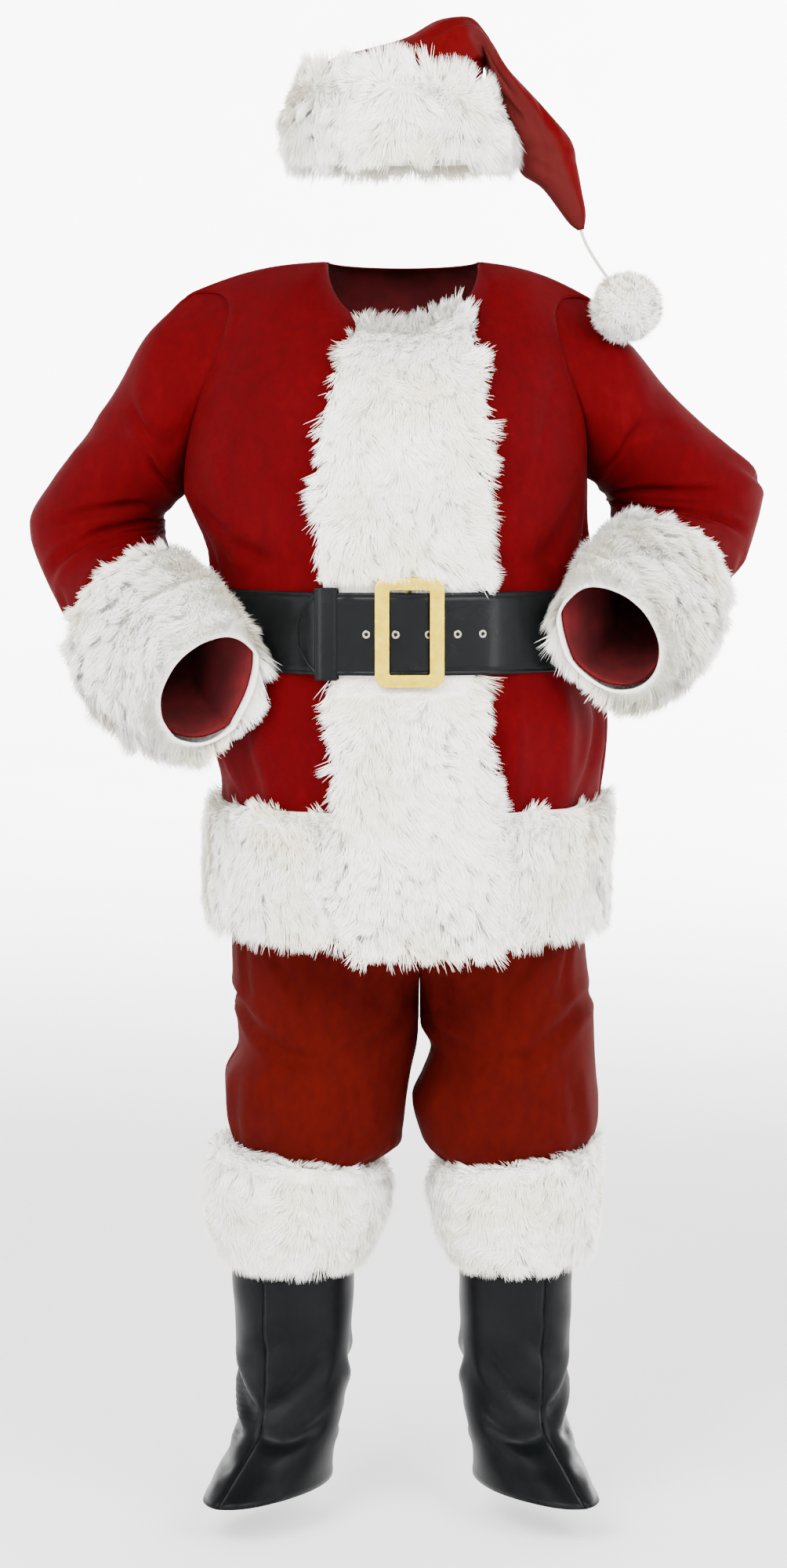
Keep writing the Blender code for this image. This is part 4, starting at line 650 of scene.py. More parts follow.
def armhole_inset(rise):
    """The angle that the armhole cuts off each panel, from the armpit (0) to the shoulder seam (1)."""
    return ARMHOLE_ANGLE * np.sin(np.pi * rise) ** np.where(rise < 0.5, 0.7, 1.4)


def make_jacket_body():
    """Two fronts and a back, each from side seam to side seam and from the hem to neckline and shoulder."""
    rise = finer(RISE, ROWS_ABOVE)
    v = np.concatenate([np.linspace(HEM, ARMPIT, ROWS_BELOW)[:-1], ARMPIT + rise])[:, None]
    side = (np.pi / 2 - np.concatenate([np.zeros(ROWS_BELOW - 1), armhole_inset(rise)]))[:, None]
    share, back = (np.linspace(0, 1, columns)[None, :] for columns in (FRONT_COLUMNS, BACK_COLUMNS))
    panels = (("jacket_front_right", -side * (1 - share), 0.30), ("jacket_front_left", side * share, 0.30),
              ("jacket_back", np.pi - side + 2 * side * back, 0.52))
    for name, theta, width in panels:
        to_seam = np.minimum(np.abs(theta - theta[:, :1]), np.abs(theta - theta[:, -1:])) * JACKET_RADIAN
        to_seam = np.where(np.abs(theta) < 0.3, 1.0, to_seam)  # none down the front's middle, under the strip
        to_top = (ARMPIT + 1 - v) * JACKET_REACH
        dip = seam_dip(to_seam) + seam_dip(to_top + 0 * theta, reach=0.004, depth=0.0012)
        points, out = jacket_cloth(theta, v, dip)
        piece = add_cloth(name, "velvet", "jacket_velvet", points, out, [JACKET_VELVET, KNIT_BACK], CLOTH,
                          "left right top")


# ---------------------------------------------------------------- sleeves

SLEEVE_RIGHT = table(
    "outer_x outer_h inner_x inner_h y depth lean",
    (-0.3060, 1.4500, -0.2700, 1.2515, 0.004, 0.086, 0),
    (-0.3400, 1.3900, -0.2790, 1.2420, 0.010, 0.084, 0),
    (-0.3830, 1.3300, -0.2860, 1.2345, 0.020, 0.081, 0),
    (-0.4260, 1.2740, -0.2885, 1.2260, 0.030, 0.080, 0),
    (-0.4520, 1.2230, -0.2890, 1.2150, 0.032, 0.082, 0),
    (-0.4420, 1.1740, -0.2840, 1.2020, 0.020, 0.080, 10),
    (-0.4160, 1.1260, -0.2750, 1.1860, -0.015, 0.077, 25),
    (-0.3680, 1.0770, -0.2560, 1.1640, -0.078, 0.072, 45),
    (-0.3240, 1.0230, -0.2120, 1.1250, -0.160, 0.063, 60),
    (-0.2560, 0.9820, -0.1740, 1.0840, -0.232, 0.054, 63),
)
SLEEVE_LEFT = table(
    "outer_x outer_h inner_x inner_h y depth lean",
    (0.2800, 1.4310, 0.2290, 1.2715, 0.004, 0.086, 0),
    (0.3160, 1.3860, 0.2360, 1.2640, 0.010, 0.084, 0),
    (0.3600, 1.3430, 0.2430, 1.2570, 0.020, 0.081, 0),
    (0.4220, 1.2900, 0.2475, 1.2490, 0.030, 0.080, 0),
    (0.4350, 1.2510, 0.2510, 1.2400, 0.032, 0.082, 0),
    (0.4270, 1.2130, 0.2520, 1.2280, 0.020, 0.080, 10),
    (0.4060, 1.1720, 0.2550, 1.2240, -0.015, 0.077, 25),
    (0.3570, 1.1220, 0.2470, 1.2040, -0.078, 0.072, 45),
    (0.3160, 1.0770, 0.2160, 1.1740, -0.160, 0.063, 60),
    (0.2740, 1.0460, 0.1880, 1.1400, -0.232, 0.054, 63),
)
SLEEVE_CLEAR = (-0.05, -0.05, -0.02, 0.0, 0.004, 0.008, 0.012, 0.020, 0.026, 0.026)  # off the jacket, by row


def section_rings(t, angles):
    """Rings through a table's edge points: angle 0 is the outer edge, 90 degrees the front, which lean
    raises back along the tube."""
    outer_edge, inner_edge = (joined(t[edge + "_x"], t["y"], t[edge + "_h"]) for edge in ("outer", "inner"))
    centre, half = (outer_edge + inner_edge) / 2, (outer_edge - inner_edge) / 2
    back_along = unit(np.cross(half, (0.0, -1.0, 0.0)))
    back_along *= -np.sign(np.sum(back_along * np.gradient(centre, axis=0), axis=-1, keepdims=True))
    lean = np.radians(t.get("lean", np.zeros(len(half))))[:, None]
    across = np.cos(lean) * (0.0, -1.0, 0.0) + np.sin(lean) * back_along
    c, s = np.cos(angles)[..., None], np.sin(angles)[..., None]
    return centre[:, None] + half[:, None] * c + (across * t["depth"][:, None])[:, None] * s


def off_body(points, margin):
    """Points moved out from the jacket's middle line until they clear its sections by a margin."""
    left, right, front, back = read(JACKET, points[..., 2], "left", "right", "front", "back")
    centre, half = (left + right) / 2, (right - left) / 2
    depth = np.where(points[..., 1] < 0, front, back)
    x, y = (points[..., 0] - centre) / half, points[..., 1] / depth
    size = (np.abs(x) ** SQUARENESS + np.abs(y) ** SQUARENESS) ** (1 / SQUARENESS)
    grow = np.maximum((1 + margin / half) / size, 1)
    return joined(centre + x * half * grow, y * depth * grow, points[..., 2])


RING = np.linspace(np.pi, 0, 8 * ROWS_ABOVE + 1)
RING_ANGLES = np.concatenate([RING, -RING[::-1][1:-1]])
SLEEVE_STEPS = 84
SLEEVE_END = 9.82  # station of the sleeve's hem, just inside the cuff's mouth
SLEEVE_STATION = 0.056  # metres of cloth from one row of the table to the next
SLEEVE_DEGREE = 0.0015
SLEEVE_CREASES_RIGHT = table(
    "station turn station_to turn_to bow width depth",
    (0.9, 150, 1.9, 110, 0.004, 0.008, 0.0055),
    (0.7, 120, 1.9, 60, 0.010, 0.010, 0.0045),
    (3.4, 130, 4.8, 62, 0.006, 0.009, 0.0060),
    (4.1, 160, 5.7, 80, -0.006, 0.008, 0.0065),
    (5.0, 175, 6.6, 110, 0.004, 0.008, 0.0055),
    (5.7, 90, 6.6, 30, 0.006, 0.010, 0.0045),
    (6.6, 150, 7.8, 70, 0.008, 0.009, 0.0055),
    (2.2, 70, 3.0, 10, 0.008, 0.012, 0.0035),
    (4.2, -20, 4.9, -75, 0.006, 0.010, 0.0045),
    (5.1, -10, 5.9, -80, -0.004, 0.010, 0.0045),
    (1.0, -140, 2.6, -90, 0.008, 0.011, 0.0045),
    (3.8, -170, 5.2, -100, 0.006, 0.009, 0.0055),
    (5.8, -160, 7.0, -95, -0.006, 0.010, 0.0050),
    (7.2, 30, 7.9, -30, 0.004, 0.008, 0.0040),
)
SLEEVE_CREASES_LEFT = table(
    "station turn station_to turn_to bow width depth",
    (0.8, 155, 1.7, 105, 0.004, 0.008, 0.0050),
    (1.4, 110, 2.8, 50, -0.008, 0.010, 0.0045),
    (3.2, 150, 4.5, 70, 0.008, 0.009, 0.0060),
    (4.2, 165, 5.9, 95, -0.006, 0.008, 0.0060),
    (5.2, 110, 6.4, 40, 0.006, 0.010, 0.0055),
    (6.3, 165, 7.6, 90, 0.006, 0.009, 0.0055),
    (3.9, 30, 4.9, -40, 0.005, 0.010, 0.0040),
    (4.8, -30, 5.6, -100, 0.005, 0.010, 0.0045),
    (1.2, -150, 2.9, -95, 0.008, 0.011, 0.0045),
    (3.6, -165, 5.0, -110, 0.006, 0.009, 0.0055),
    (6.0, -165, 7.1, -100, -0.006, 0.010, 0.0050),
    (7.0, 20, 7.9, -45, 0.004, 0.008, 0.0040),
)
ALLOWANCE, UNDER = 0.0045, 0.0030  # how far the sleeve's seam allowance reaches in, and lies under the panels


def armhole(side, off, under=0.0):
    """The armhole's edge on the jacket, in the order of RING_ANGLES, moved off the panels and under them."""
    rise = finer(RISE, ROWS_ABOVE)
    inset = armhole_inset(rise)
    theta = side * np.concatenate([np.pi / 2 - inset, np.pi / 2 + inset[::-1][1:-1]])
    v = ARMPIT + np.concatenate([rise, rise[::-1][1:-1]])
    points, normal = jacket_cloth(theta, v, seam_dip(0.0))
    step = unit(np.cross(np.roll(points, -1, axis=0) - np.roll(points, 1, axis=0), normal))
    inwards = jacket_point(theta * 0 + side * np.pi / 2, v) - points
    step *= np.where(np.sum(step * inwards, axis=-1, keepdims=True) < 0, -1, 1)
    step[0], step[len(rise) - 1] = (0.0, 0.0, 1.0), unit(np.array([1.6 * side, 0.0, -0.6]))
    return points + step * off - normal * under


def sleeve_cloth(side, stations):
    """Points and outward normals of a creased sleeve at stations from the armhole (0) to its end (10)."""
    rings = section_rings(SLEEVE_RIGHT if side < 0 else SLEEVE_LEFT, RING_ANGLES)
    tube = follow(stations, np.arange(11), np.concatenate([armhole(side, SEAM)[None], rings]))
    clear = np.interp(stations, np.arange(1, 11), SLEEVE_CLEAR)
    at = ease(stations / 0.5)[:, None, None]
    tube = tube * (1 - at) + off_body(tube, clear[:, None]) * at
    normals = outward(tube)
    turn = (np.degrees(RING_ANGLES) + 180)[None, :] % 360 - 180
    marks = SLEEVE_CREASES_RIGHT if side < 0 else SLEEVE_CREASES_LEFT
    a, angle = stations[:, None], np.radians(turn)
    move = sum(creases(a, turn + lap, marks, SLEEVE_DEGREE, SLEEVE_STATION) for lap in (0, -360, 360))
    round_it = np.stack([np.cos(angle), np.sin(angle)]) * 0.08
    move += 0.0015 * wave(a * SLEEVE_STATION + round_it[0], round_it[1] * 1.5, 20 + side, 0.11)
    puckers = np.sin(angle * 24 + 2 * np.sin(angle * 3)) * bell((a - 0.1) / 0.28)
    move = move * ease(a / 0.5) * ease((10.2 - a) / 1.0) + 0.0008 * puckers * ease(a / 0.15)
    move += seam_dip(a * SLEEVE_STATION)
    return tube + normals * move[..., None], normals


def make_sleeves():
    """A front and a back half of each sleeve, whose first row is the seam allowance inside the armhole."""
    half = len(RING) - 1
    for side, word in SIDES:
        tube, out = sleeve_cloth(side, np.linspace(0, SLEEVE_END, SLEEVE_STEPS))
        tube = np.concatenate([armhole(side, -ALLOWANCE, UNDER)[None], tube])
        out = np.concatenate([out[:1], out])
        for face, start in (("front", 0), ("back", half)):
            columns = np.arange(start, start + half + 1) % (2 * half)
            piece = add_cloth(f"sleeve_{word}_{face}", "velvet", "jacket_velvet", tube[:, columns],
                              out[:, columns], [JACKET_VELVET, KNIT_BACK], CLOTH)


# ---------------------------------------------------------------- trousers

HIPS = table(
    "height left right front back",
    (0.600, -0.2050, 0.2250, 0.140, 0.125),
    (0.730, -0.2078, 0.2212, 0.158, 0.140),
    (0.850, -0.2050, 0.2160, 0.195, 0.152),
    (0.950, -0.2050, 0.2160, 0.205, 0.150),
    (1.000, -0.1980, 0.2070, 0.205, 0.152),
    (1.040, -0.1900, 0.1980, 0.200, 0.1628),
)
LEG_RIGHT = table(
    "height outer inner front back",
    (0.4080, -0.2035, -0.0635, 0.0700, 0.0700),
    (0.4250, -0.2038, -0.0632, 0.0704, 0.0704),
    (0.4400, -0.2010, -0.0450, 0.0870, 0.0840),
    (0.4520, -0.2020, -0.0260, 0.0990, 0.0930),
    (0.4652, -0.2050, -0.0050, 0.1100, 0.1010),
    (0.4870, -0.2115, 0.0005, 0.1210, 0.1090),
    (0.5250, -0.2172, 0.0050, 0.1310, 0.1160),
    (0.5592, -0.2171, 0.0105, 0.1330, 0.1180),
    (0.5930, -0.2018, 0.0180, 0.1280, 0.1180),
    (0.6172, -0.2030, 0.0195, 0.1330, 0.1220),
    (0.7300, -0.2078, 0.0195, 0.1480, 0.1350),
)
LEG_LEFT = table(
    "height outer inner front back",
    (0.4080, 0.2048, 0.0726, 0.0660, 0.0660),
    (0.4250, 0.2051, 0.0723, 0.0664, 0.0664),
    (0.4400, 0.2050, 0.0600, 0.0850, 0.0830),
    (0.4520, 0.2110, 0.0455, 0.0980, 0.0930),
    (0.4652, 0.2230, 0.0290, 0.1100, 0.1010),
    (0.4870, 0.2370, 0.0190, 0.1220, 0.1090),
    (0.5250, 0.2412, 0.0108, 0.1310, 0.1160),
    (0.5550, 0.2375, 0.0230, 0.1330, 0.1180),
    (0.5882, 0.2335, 0.0335, 0.1290, 0.1180),
    (0.6172, 0.2315, 0.0205, 0.1330, 0.1220),
    (0.7300, 0.2212, 0.0205, 0.1480, 0.1350),
)
RISE_CENTRE = 0.020  # x of the seam between the legs
WAIST = 0.985
CROTCH, RISE_TOP = 0.617, 0.745  # where the blend from legs to hips begins and ends


def hip_point(u, height, side, ahead):
    """The trousers' upper part: from the middle seam (u=0) round to the side seam (u=1)."""
    edge, depth = read(HIPS, height, "right" if side > 0 else "left", "front" if ahead else "back")
    exponent = 2 / SQUARENESS
    angle = u * np.pi / 2
    x = RISE_CENTRE + (edge - RISE_CENTRE) * np.sin(angle) ** exponent
    y = (-depth if ahead else depth) * np.cos(angle) ** exponent
    return joined(x, y, height)


def leg_point(u, height, side, ahead):
    """A leg's tube: from the inseam (u=0) round to the side seam (u=1)."""
    leg = LEG_LEFT if side > 0 else LEG_RIGHT
    outer, inner, depth = read(leg, height, "outer", "inner", "front" if ahead else "back")
    angle = u * np.pi
    x = (outer + inner) / 2 - (outer - inner) / 2 * np.cos(angle)
    y = (-depth if ahead else depth) * np.sin(angle)
    return joined(x, y, height)


def trouser_point(u, height, side, ahead):
    """Hips above, leg below, and a blend over the rise between them."""
    share = ease((RISE_TOP - height) / (RISE_TOP - CROTCH))[..., None]
    return hip_point(u, height, side, ahead) * (1 - share) + leg_point(u, height, side, ahead) * share


def trouser_normal(u, height, side, ahead):
    """Outward unit normals of the trousers."""
    return surface_normal(trouser_point, u, height, side, ahead) * (side if ahead else -side)


TROUSER_ROWS, TROUSER_COLUMNS = 74, 34
TROUSER_DEGREE = 0.0021
TROUSER_BOTTOM = 0.408
KNEE_GATHER, KNEE_HEIGHT, KNEE_SPREAD = 0.0030, 0.452, 0.030  # of the gathers over the boot fur
LEG_CREASES = table(
    "height turn height_to turn_to bow width depth",
    (0.655, 175, 0.598, 110, 0.010, 0.009, 0.0060),
    (0.640, 150, 0.585, 95, -0.008, 0.008, 0.0045),
    (0.690, 25, 0.625, 70, 0.010, 0.010, 0.0055),
    (0.660, 8, 0.600, 60, 0.008, 0.009, 0.0060),
    (0.600, 100, 0.520, 118, 0.006, 0.012, 0.0040),
    (0.560, 60, 0.480, 50, -0.006, 0.011, 0.0045),
    (0.560, 140, 0.475, 152, 0.006, 0.011, 0.0045),
    (0.725, 95, 0.640, 88, 0.004, 0.012, 0.0035),
    (0.735, 130, 0.655, 138, 0.006, 0.010, 0.0035),
    (0.500, 85, 0.462, 92, 0.003, 0.008, 0.0040),
    (0.655, 186, 0.600, 245, -0.010, 0.009, 0.0060),
    (0.690, 335, 0.620, 290, -0.010, 0.010, 0.0060),
    (0.620, 352, 0.590, 270, 0.006, 0.009, 0.0055),
    (0.590, 262, 0.575, 215, 0.005, 0.009, 0.0050),
    (0.555, 250, 0.475, 240, 0.006, 0.011, 0.0045),
    (0.550, 300, 0.480, 310, -0.006, 0.011, 0.0045),
    (0.730, 240, 0.650, 250, 0.005, 0.012, 0.0040),
)


def trouser_folds(turn, height, side):
    """How far creases move a leg: 0 degrees is the inseam, 180 the side seam, and the front comes first."""
    move = creases(height, turn + 7 * side, LEG_CREASES, TROUSER_DEGREE)
    angle = np.radians(turn)
    gathered = np.sin(21 * angle + 1.2 * np.sin(4 * angle + side)) * (0.7 + 0.3 * np.sin(5 * angle))
    move += KNEE_GATHER * gathered * bell((height - KNEE_HEIGHT) / KNEE_SPREAD)
    move += 0.0018 * wave(height, turn * TROUSER_DEGREE, 40 + side, 0.12)
    return move * ease(turn / 22) * ease((360 - turn) / 22) * ease((height - TROUSER_BOTTOM) / 0.03)


def make_trousers():
    """Two fronts and two backs, each from the middle seam or the inseam round to the side seam."""
    low = np.linspace(TROUSER_BOTTOM, 0.73, TROUSER_ROWS - 16)
    height = np.concatenate([low, np.linspace(0.73, WAIST, 17)[1:]])[:, None]
    u = np.linspace(0, 1, TROUSER_COLUMNS)[None, :] + 0 * height
    height = height + 0 * u
    for side, word in SIDES:
        for ahead, face in ((True, "front"), (False, "back")):
            normal = trouser_normal(np.clip(u, 0.004, 0.996), height, side, ahead)
            turn = 180 * u if ahead else 360 - 180 * u
            dip = seam_dip((1 - u) * 0.4) + np.where(height < 0.62, seam_dip(u * 0.4), 0.0)
            move = trouser_folds(turn, height, side) + dip
            points = trouser_point(u, height, side, ahead) + normal * move[..., None]
            piece = add_cloth(f"trouser_{word}_{face}", "velvet", "trouser_velvet", points, normal,
                              [TROUSER_VELVET, KNIT_BACK], CLOTH)


def make_waistband():
    """The plain band that carries the trousers: four quarters of the hips' section, one after another."""
    u = np.linspace(0, 1, 25)
    quarters = ((1, True, u[:-1]), (1, False, u[::-1][:-1]), (-1, False, u[:-1]), (-1, True, u[::-1][:-1]))
    height = np.linspace(WAIST + SEAM, 1.039, 9)[:, None]
    points = [hip_point(quarter[None, :], height, side, ahead) for side, ahead, quarter in quarters]
    points = np.concatenate(points, axis=1)
    out = points - points.mean(axis=1, keepdims=True)
    piece = add_cloth("trouser_waistband", "velvet", "trouser_velvet", points, out, [TROUSER_VELVET],
                      1.5 * CLOTH, "", wrap=True)


# ---------------------------------------------------------------- boot tops

TOE_TURN = {-1: np.radians(-30), 1: np.radians(30)}  # from straight ahead, outwards
BOOT_RIGHT = table(
    "height x y length width",
    (0.050, -0.1640, -0.043, 0.118, 0.0570),
    (0.070, -0.1580, -0.032, 0.102, 0.0575),
    (0.092, -0.1490, -0.014, 0.085, 0.0585),
    (0.115, -0.1410, -0.001, 0.071, 0.0605),
    (0.142, -0.1370, 0.004, 0.068, 0.0630),
    (0.185, -0.1337, 0.004, 0.070, 0.0680),
    (0.250, -0.1343, 0.000, 0.0725, 0.0720),
    (0.330, -0.1338, 0.000, 0.0755, 0.0755),
    (0.424, -0.1335, 0.000, 0.0765, 0.0765),
)
BOOT_LEFT = table(
    "height x y length width",
    (0.050, 0.1620, -0.043, 0.115, 0.0560),
    (0.070, 0.1560, -0.031, 0.100, 0.0565),
    (0.092, 0.1490, -0.013, 0.083, 0.0575),
    (0.115, 0.1410, 0.000, 0.070, 0.0590),
    (0.142, 0.1370, 0.004, 0.066, 0.0610),
    (0.185, 0.1372, 0.004, 0.067, 0.0650),
    (0.250, 0.1378, 0.000, 0.0685, 0.0680),
    (0.330, 0.1386, 0.000, 0.0705, 0.0705),
    (0.424, 0.1387, 0.000, 0.0720, 0.0720),
)


def boot_point(turn, height, side):
    """A boot top's outer surface: turn 0 is the toe's direction, positive towards +X."""
    x, y, length, width = read(BOOT_LEFT if side > 0 else BOOT_RIGHT, height, "x", "y", "length", "width")
    forward, sideways = length * np.cos(turn), width * np.sin(turn)
    c, s = np.cos(TOE_TURN[side]), np.sin(TOE_TURN[side])
    across, ahead = forward * s + sideways * c, forward * c - sideways * s
    return joined(x + across, y - ahead, height)


def boot_normal(turn, height, side):
    """Outward unit normals of a boot top."""
    return surface_normal(boot_point, turn, height, side)


BOOT_ROWS, BOOT_COLUMNS = 60, 34
BOOT_BOTTOM, BOOT_TOP = 0.050, 0.424
BOOT_DEGREE = 0.00118
BOOT_RIDGE, BOOT_ROLL = 0.0007, 0.0012  # rise of the ridge beside each seam, and of the rolled bottom edge
BOOT_CREASES = table(
    "height turn height_to turn_to bow width depth",
    (0.212, -62, 0.150, -8, 0.006, 0.010, 0.0065),
    (0.196, 60, 0.140, 8, -0.008, 0.010, 0.0060),
    (0.128, -70, 0.118, -6, 0.010, 0.009, 0.0055),
    (0.168, 85, 0.112, 30, -0.006, 0.009, 0.0055),
    (0.100, 60, 0.084, 14, -0.004, 0.008, 0.0035),
    (0.245, -20, 0.205, 20, 0.005, 0.012, 0.0035),
    (0.170, 118, 0.150, 175, 0.008, 0.010, 0.0060),
    (0.210, -110, 0.175, -172, -0.008, 0.010, 0.0055),
    (0.120, -120, 0.108, -176, 0.005, 0.009, 0.0045),
    (0.115, 176, 0.110, 115, 0.004, 0.009, 0.0045),
    (0.280, 95, 0.240, 140, 0.006, 0.013, 0.0030),
)


def make_boot_tops():
    """An outer and an inner panel of each boot top, seamed along the toe's line and the heel's."""
    height = np.linspace(BOOT_BOTTOM, BOOT_TOP, BOOT_ROWS)[:, None]
    for side, word in SIDES:
        for half, place in ((side, "outer"), (-side, "inner")):
            turn = half * np.linspace(0, np.pi, BOOT_COLUMNS)[None, :] + 0 * height
            level = height + 0 * turn
            degrees = np.degrees(turn) * side
            to_heel = 180 - np.abs(degrees)
            move = creases(level, degrees, BOOT_CREASES, BOOT_DEGREE)
            move += 0.0012 * wave(level, degrees * BOOT_DEGREE, 60 + side, 0.07) * ease(to_heel / 20)
            to_seam = np.minimum(np.abs(degrees), to_heel) * BOOT_DEGREE
            ridge = BOOT_RIDGE * bell((to_seam - 0.0035) / 0.0022)
            ridge += seam_dip(to_seam, reach=0.0014, depth=0.0014)
            rolled = BOOT_ROLL * bell((level - BOOT_BOTTOM - 0.004) / 0.0035)
            normal = boot_normal(turn, level, side)
            points = boot_point(turn, level, side) + normal * (move + ridge + rolled)[..., None]
            name = f"boot_top_{word}_{place}"
            piece = add_cloth(name, "vinyl", "boot_vinyl", points, normal, [BOOT_VINYL], VINYL)


# ---------------------------------------------------------------- hat

CROWN = table(
    "outer_x outer_h inner_x inner_h y depth",
    (-0.1055, 1.6500, 0.0935, 1.6500, 0.004, 0.1120),
    (-0.1055, 1.6950, 0.0935, 1.6900, 0.004, 0.1120),
    (-0.1050, 1.7400, 0.0935, 1.7250, 0.004, 0.1110),
    (-0.0900, 1.7700, 0.0950, 1.7500, 0.004, 0.1040),
    (-0.0450, 1.7850, 0.0960, 1.7580, 0.004, 0.0940),
    (0.0030, 1.8000, 0.0970, 1.7630, 0.006, 0.0840),
    (0.0400, 1.8200, 0.0985, 1.7665, 0.008, 0.0740),
    (0.0725, 1.8251, 0.1010, 1.7680, 0.010, 0.0640),
    (0.0960, 1.8060, 0.1050, 1.7640, 0.012, 0.0560),
    (0.1202, 1.7717, 0.1110, 1.7500, 0.014, 0.0500),
    (0.1474, 1.7421, 0.1215, 1.7250, 0.014, 0.0450),
    (0.1746, 1.7108, 0.1340, 1.6940, 0.012, 0.0400),
    (0.2019, 1.6784, 0.1435, 1.6600, 0.010, 0.0340),
    (0.2090, 1.6480, 0.1500, 1.6380, 0.006, 0.0270),
    (0.2145, 1.6180, 0.1700, 1.6210, 0.002, 0.0200),
    (0.2188, 1.5910, 0.1970, 1.5830, 0.000, 0.0125),
    (0.2170, 1.5737, 0.2088, 1.5719, 0.000, 0.0042),
)

CROWN_STEPS, CROWN_COLUMNS = 96, 26  # columns of each gore
CROWN_STATION, CROWN_DEGREE, CROWN_CLOTH = 0.030, 0.0014, 0.0010
CROWN_CREASES = table(
    "station turn station_to turn_to bow width depth",
    (5.2, 60, 8.6, 34, 0.004, 0.010, 0.0040),
    (6.8, 92, 11.8, 84, -0.006, 0.011, 0.0060),
    (8.6, 150, 11.2, 96, 0.006, 0.009, 0.0050),
    (10.8, 40, 13.2, 110, 0.004, 0.008, 0.0045),
    (3.4, 120, 6.4, 150, 0.006, 0.010, 0.0045),
    (12.0, 130, 14.0, 60, 0.003, 0.006, 0.0030),
    (5.0, 300, 8.8, 322, 0.004, 0.010, 0.0045),
    (7.2, 262, 11.6, 276, 0.006, 0.011, 0.0060),
    (9.0, 214, 12.0, 262, -0.005, 0.009, 0.0050),
    (3.6, 236, 6.6, 214, 0.006, 0.010, 0.0045),
    (12.2, 300, 14.0, 236, 0.003, 0.006, 0.0030),
    (11.4, 168, 12.7, 16, 0.002, 0.005, 0.0032),
)
TAIL = table(  # how far the tail's inner edge tucks in behind the fur, and how wide its outer edge is, kept clear of the painted fold shade
    "station tuck edge",
    (6.0, 0.000, 0.00),
    (7.0, 0.001, 0.06),
    (8.0, 0.005, 0.20),
    (9.0, 0.009, 0.26),
    (12.0, 0.010, 0.24),
    (13.0, 0.008, 0.20),
    (14.0, 0.003, 0.18),
    (16.0, 0.000, 0.15),
)


def crown_sizes(stations):
    """The crown's table at stations along it."""
    return {name: follow(stations, np.arange(len(CROWN["y"])), CROWN[name]) for name in CROWN}


def crown_cloth(stations, angles):
    """Rings of the hat's crown, before its creases."""
    return section_rings(crown_sizes(stations), angles)


def make_crown():
    """The front and back gores of the crown. Its tail's inner edge tucks in behind the fur. Past its outer
    edge, where the nap of the velvet turns, the tail gets painted shade for the fold's underside, which the
    pieces' UV gives to their material."""
    stations = np.linspace(0.9, len(CROWN["y"]) - 1, CROWN_STEPS)
    columns = CROWN_COLUMNS - 1
    angles = full_turn(2 * columns)
    tube = crown_cloth(stations, angles)
    normals = outward(tube)
    turn, a = np.degrees(angles)[None, :], stations[:, None]
    move = creases(a, turn, CROWN_CREASES, CROWN_DEGREE, CROWN_STATION)
    move += 0.0012 * wave(a * CROWN_STATION, 0.09 * np.cos(angles)[None, :], 71, 0.09)
    to_seam = np.minimum(turn % 180, 180 - turn % 180) * CROWN_DEGREE
    move = move * ease(to_seam / 0.012) * ease((15.6 - a) / 2.0) + 0.6 * seam_dip(to_seam)
    sizes = {name: values[:, None] for name, values in crown_sizes(stations).items()}
    tube = tube + normals * (move * np.minimum(sizes["depth"] / 0.05, 1))[..., None]
    over, down = sizes["inner_x"] - sizes["outer_x"], sizes["inner_h"] - sizes["outer_h"]
    inner = (tube[..., 0] - sizes["outer_x"]) * over + (tube[..., 2] - sizes["outer_h"]) * down
    inner = np.clip(inner / (over**2 + down**2), 0, 1)  # 0 at the tail's outer edge, 1 at its inner one
    tuck, edge = read(TAIL, stations[:, None], "tuck", "edge")
    tube[..., 0] -= tuck * ease(inner)
    # painted shade mask: 1 on the tail past its outer edge, where the fold's shaded underside is painted
    # duller
    turned = ease((a - 7.0 + 1.25 * inner) / 0.22) * ease((inner - edge) / 0.07)
    nap = joined(turned, inner)
    for face, start in (("front", 0), ("back", columns)):
        picks = np.arange(start, start + columns + 1) % (2 * columns)
        piece = add_cloth(f"hat_crown_{face}", "velvet", "hat_velvet", tube[:, picks], normals[:, picks],
                          [HAT_VELVET, KNIT_BACK], CROWN_CLOTH, uv=nap[:, picks])


# ---------------------------------------------------------------- long pile

TUFT, SWIRL, SWELL = 0.014, 0.060, 0.028  # metres across a tuft, a wide swirl and a swell of the pile
TUFT_TURN, SWIRL_TURN, BLADE_TURN = 0.8, 0.55, 0.22  # radians that each turns its blades by
BED, BED_WALL = 0.66, 0.0035  # share of the pile's depth that its matted bed fills, and the bed's thickness
BLADE_WIDTH = 0.00092
STRAY = 0.84  # tufts whose own number, from 0 to 1, is over this stand up from the rest
SAG = 0.75  # how far the pile's weight pulls it down, as a share of its length
ROOT = 0.002  # how far under the bed's surface a blade starts


def tufts(place, size, seed):
    """The way from each place to its nearest tuft's middle, and two numbers of that tuft's own."""
    cell = place / size
    best = np.full(len(place), np.inf)
    way, own = np.zeros((len(place), 2)), np.zeros((len(place), 2))
    for du in (-1, 0, 1):
        for dv in (-1, 0, 1):
            corner = np.floor(cell) + (du, dv)
            mixed = np.sin(corner @ np.array([[12.9898, 39.346], [78.233, 11.135]]) + seed) * 43758.5453
            spot = mixed - np.floor(mixed)
            to = corner + spot - cell
            distance = np.sum(to**2, axis=1)
            nearer = distance < best
            best = np.where(nearer, distance, best)
            way[nearer] = to[nearer] * size
            other = np.sin(mixed[nearer] * 1e-3 + corner[nearer] * (7.1, 3.7)) * 9973.1
            own[nearer] = other - np.floor(other)
    return way, own


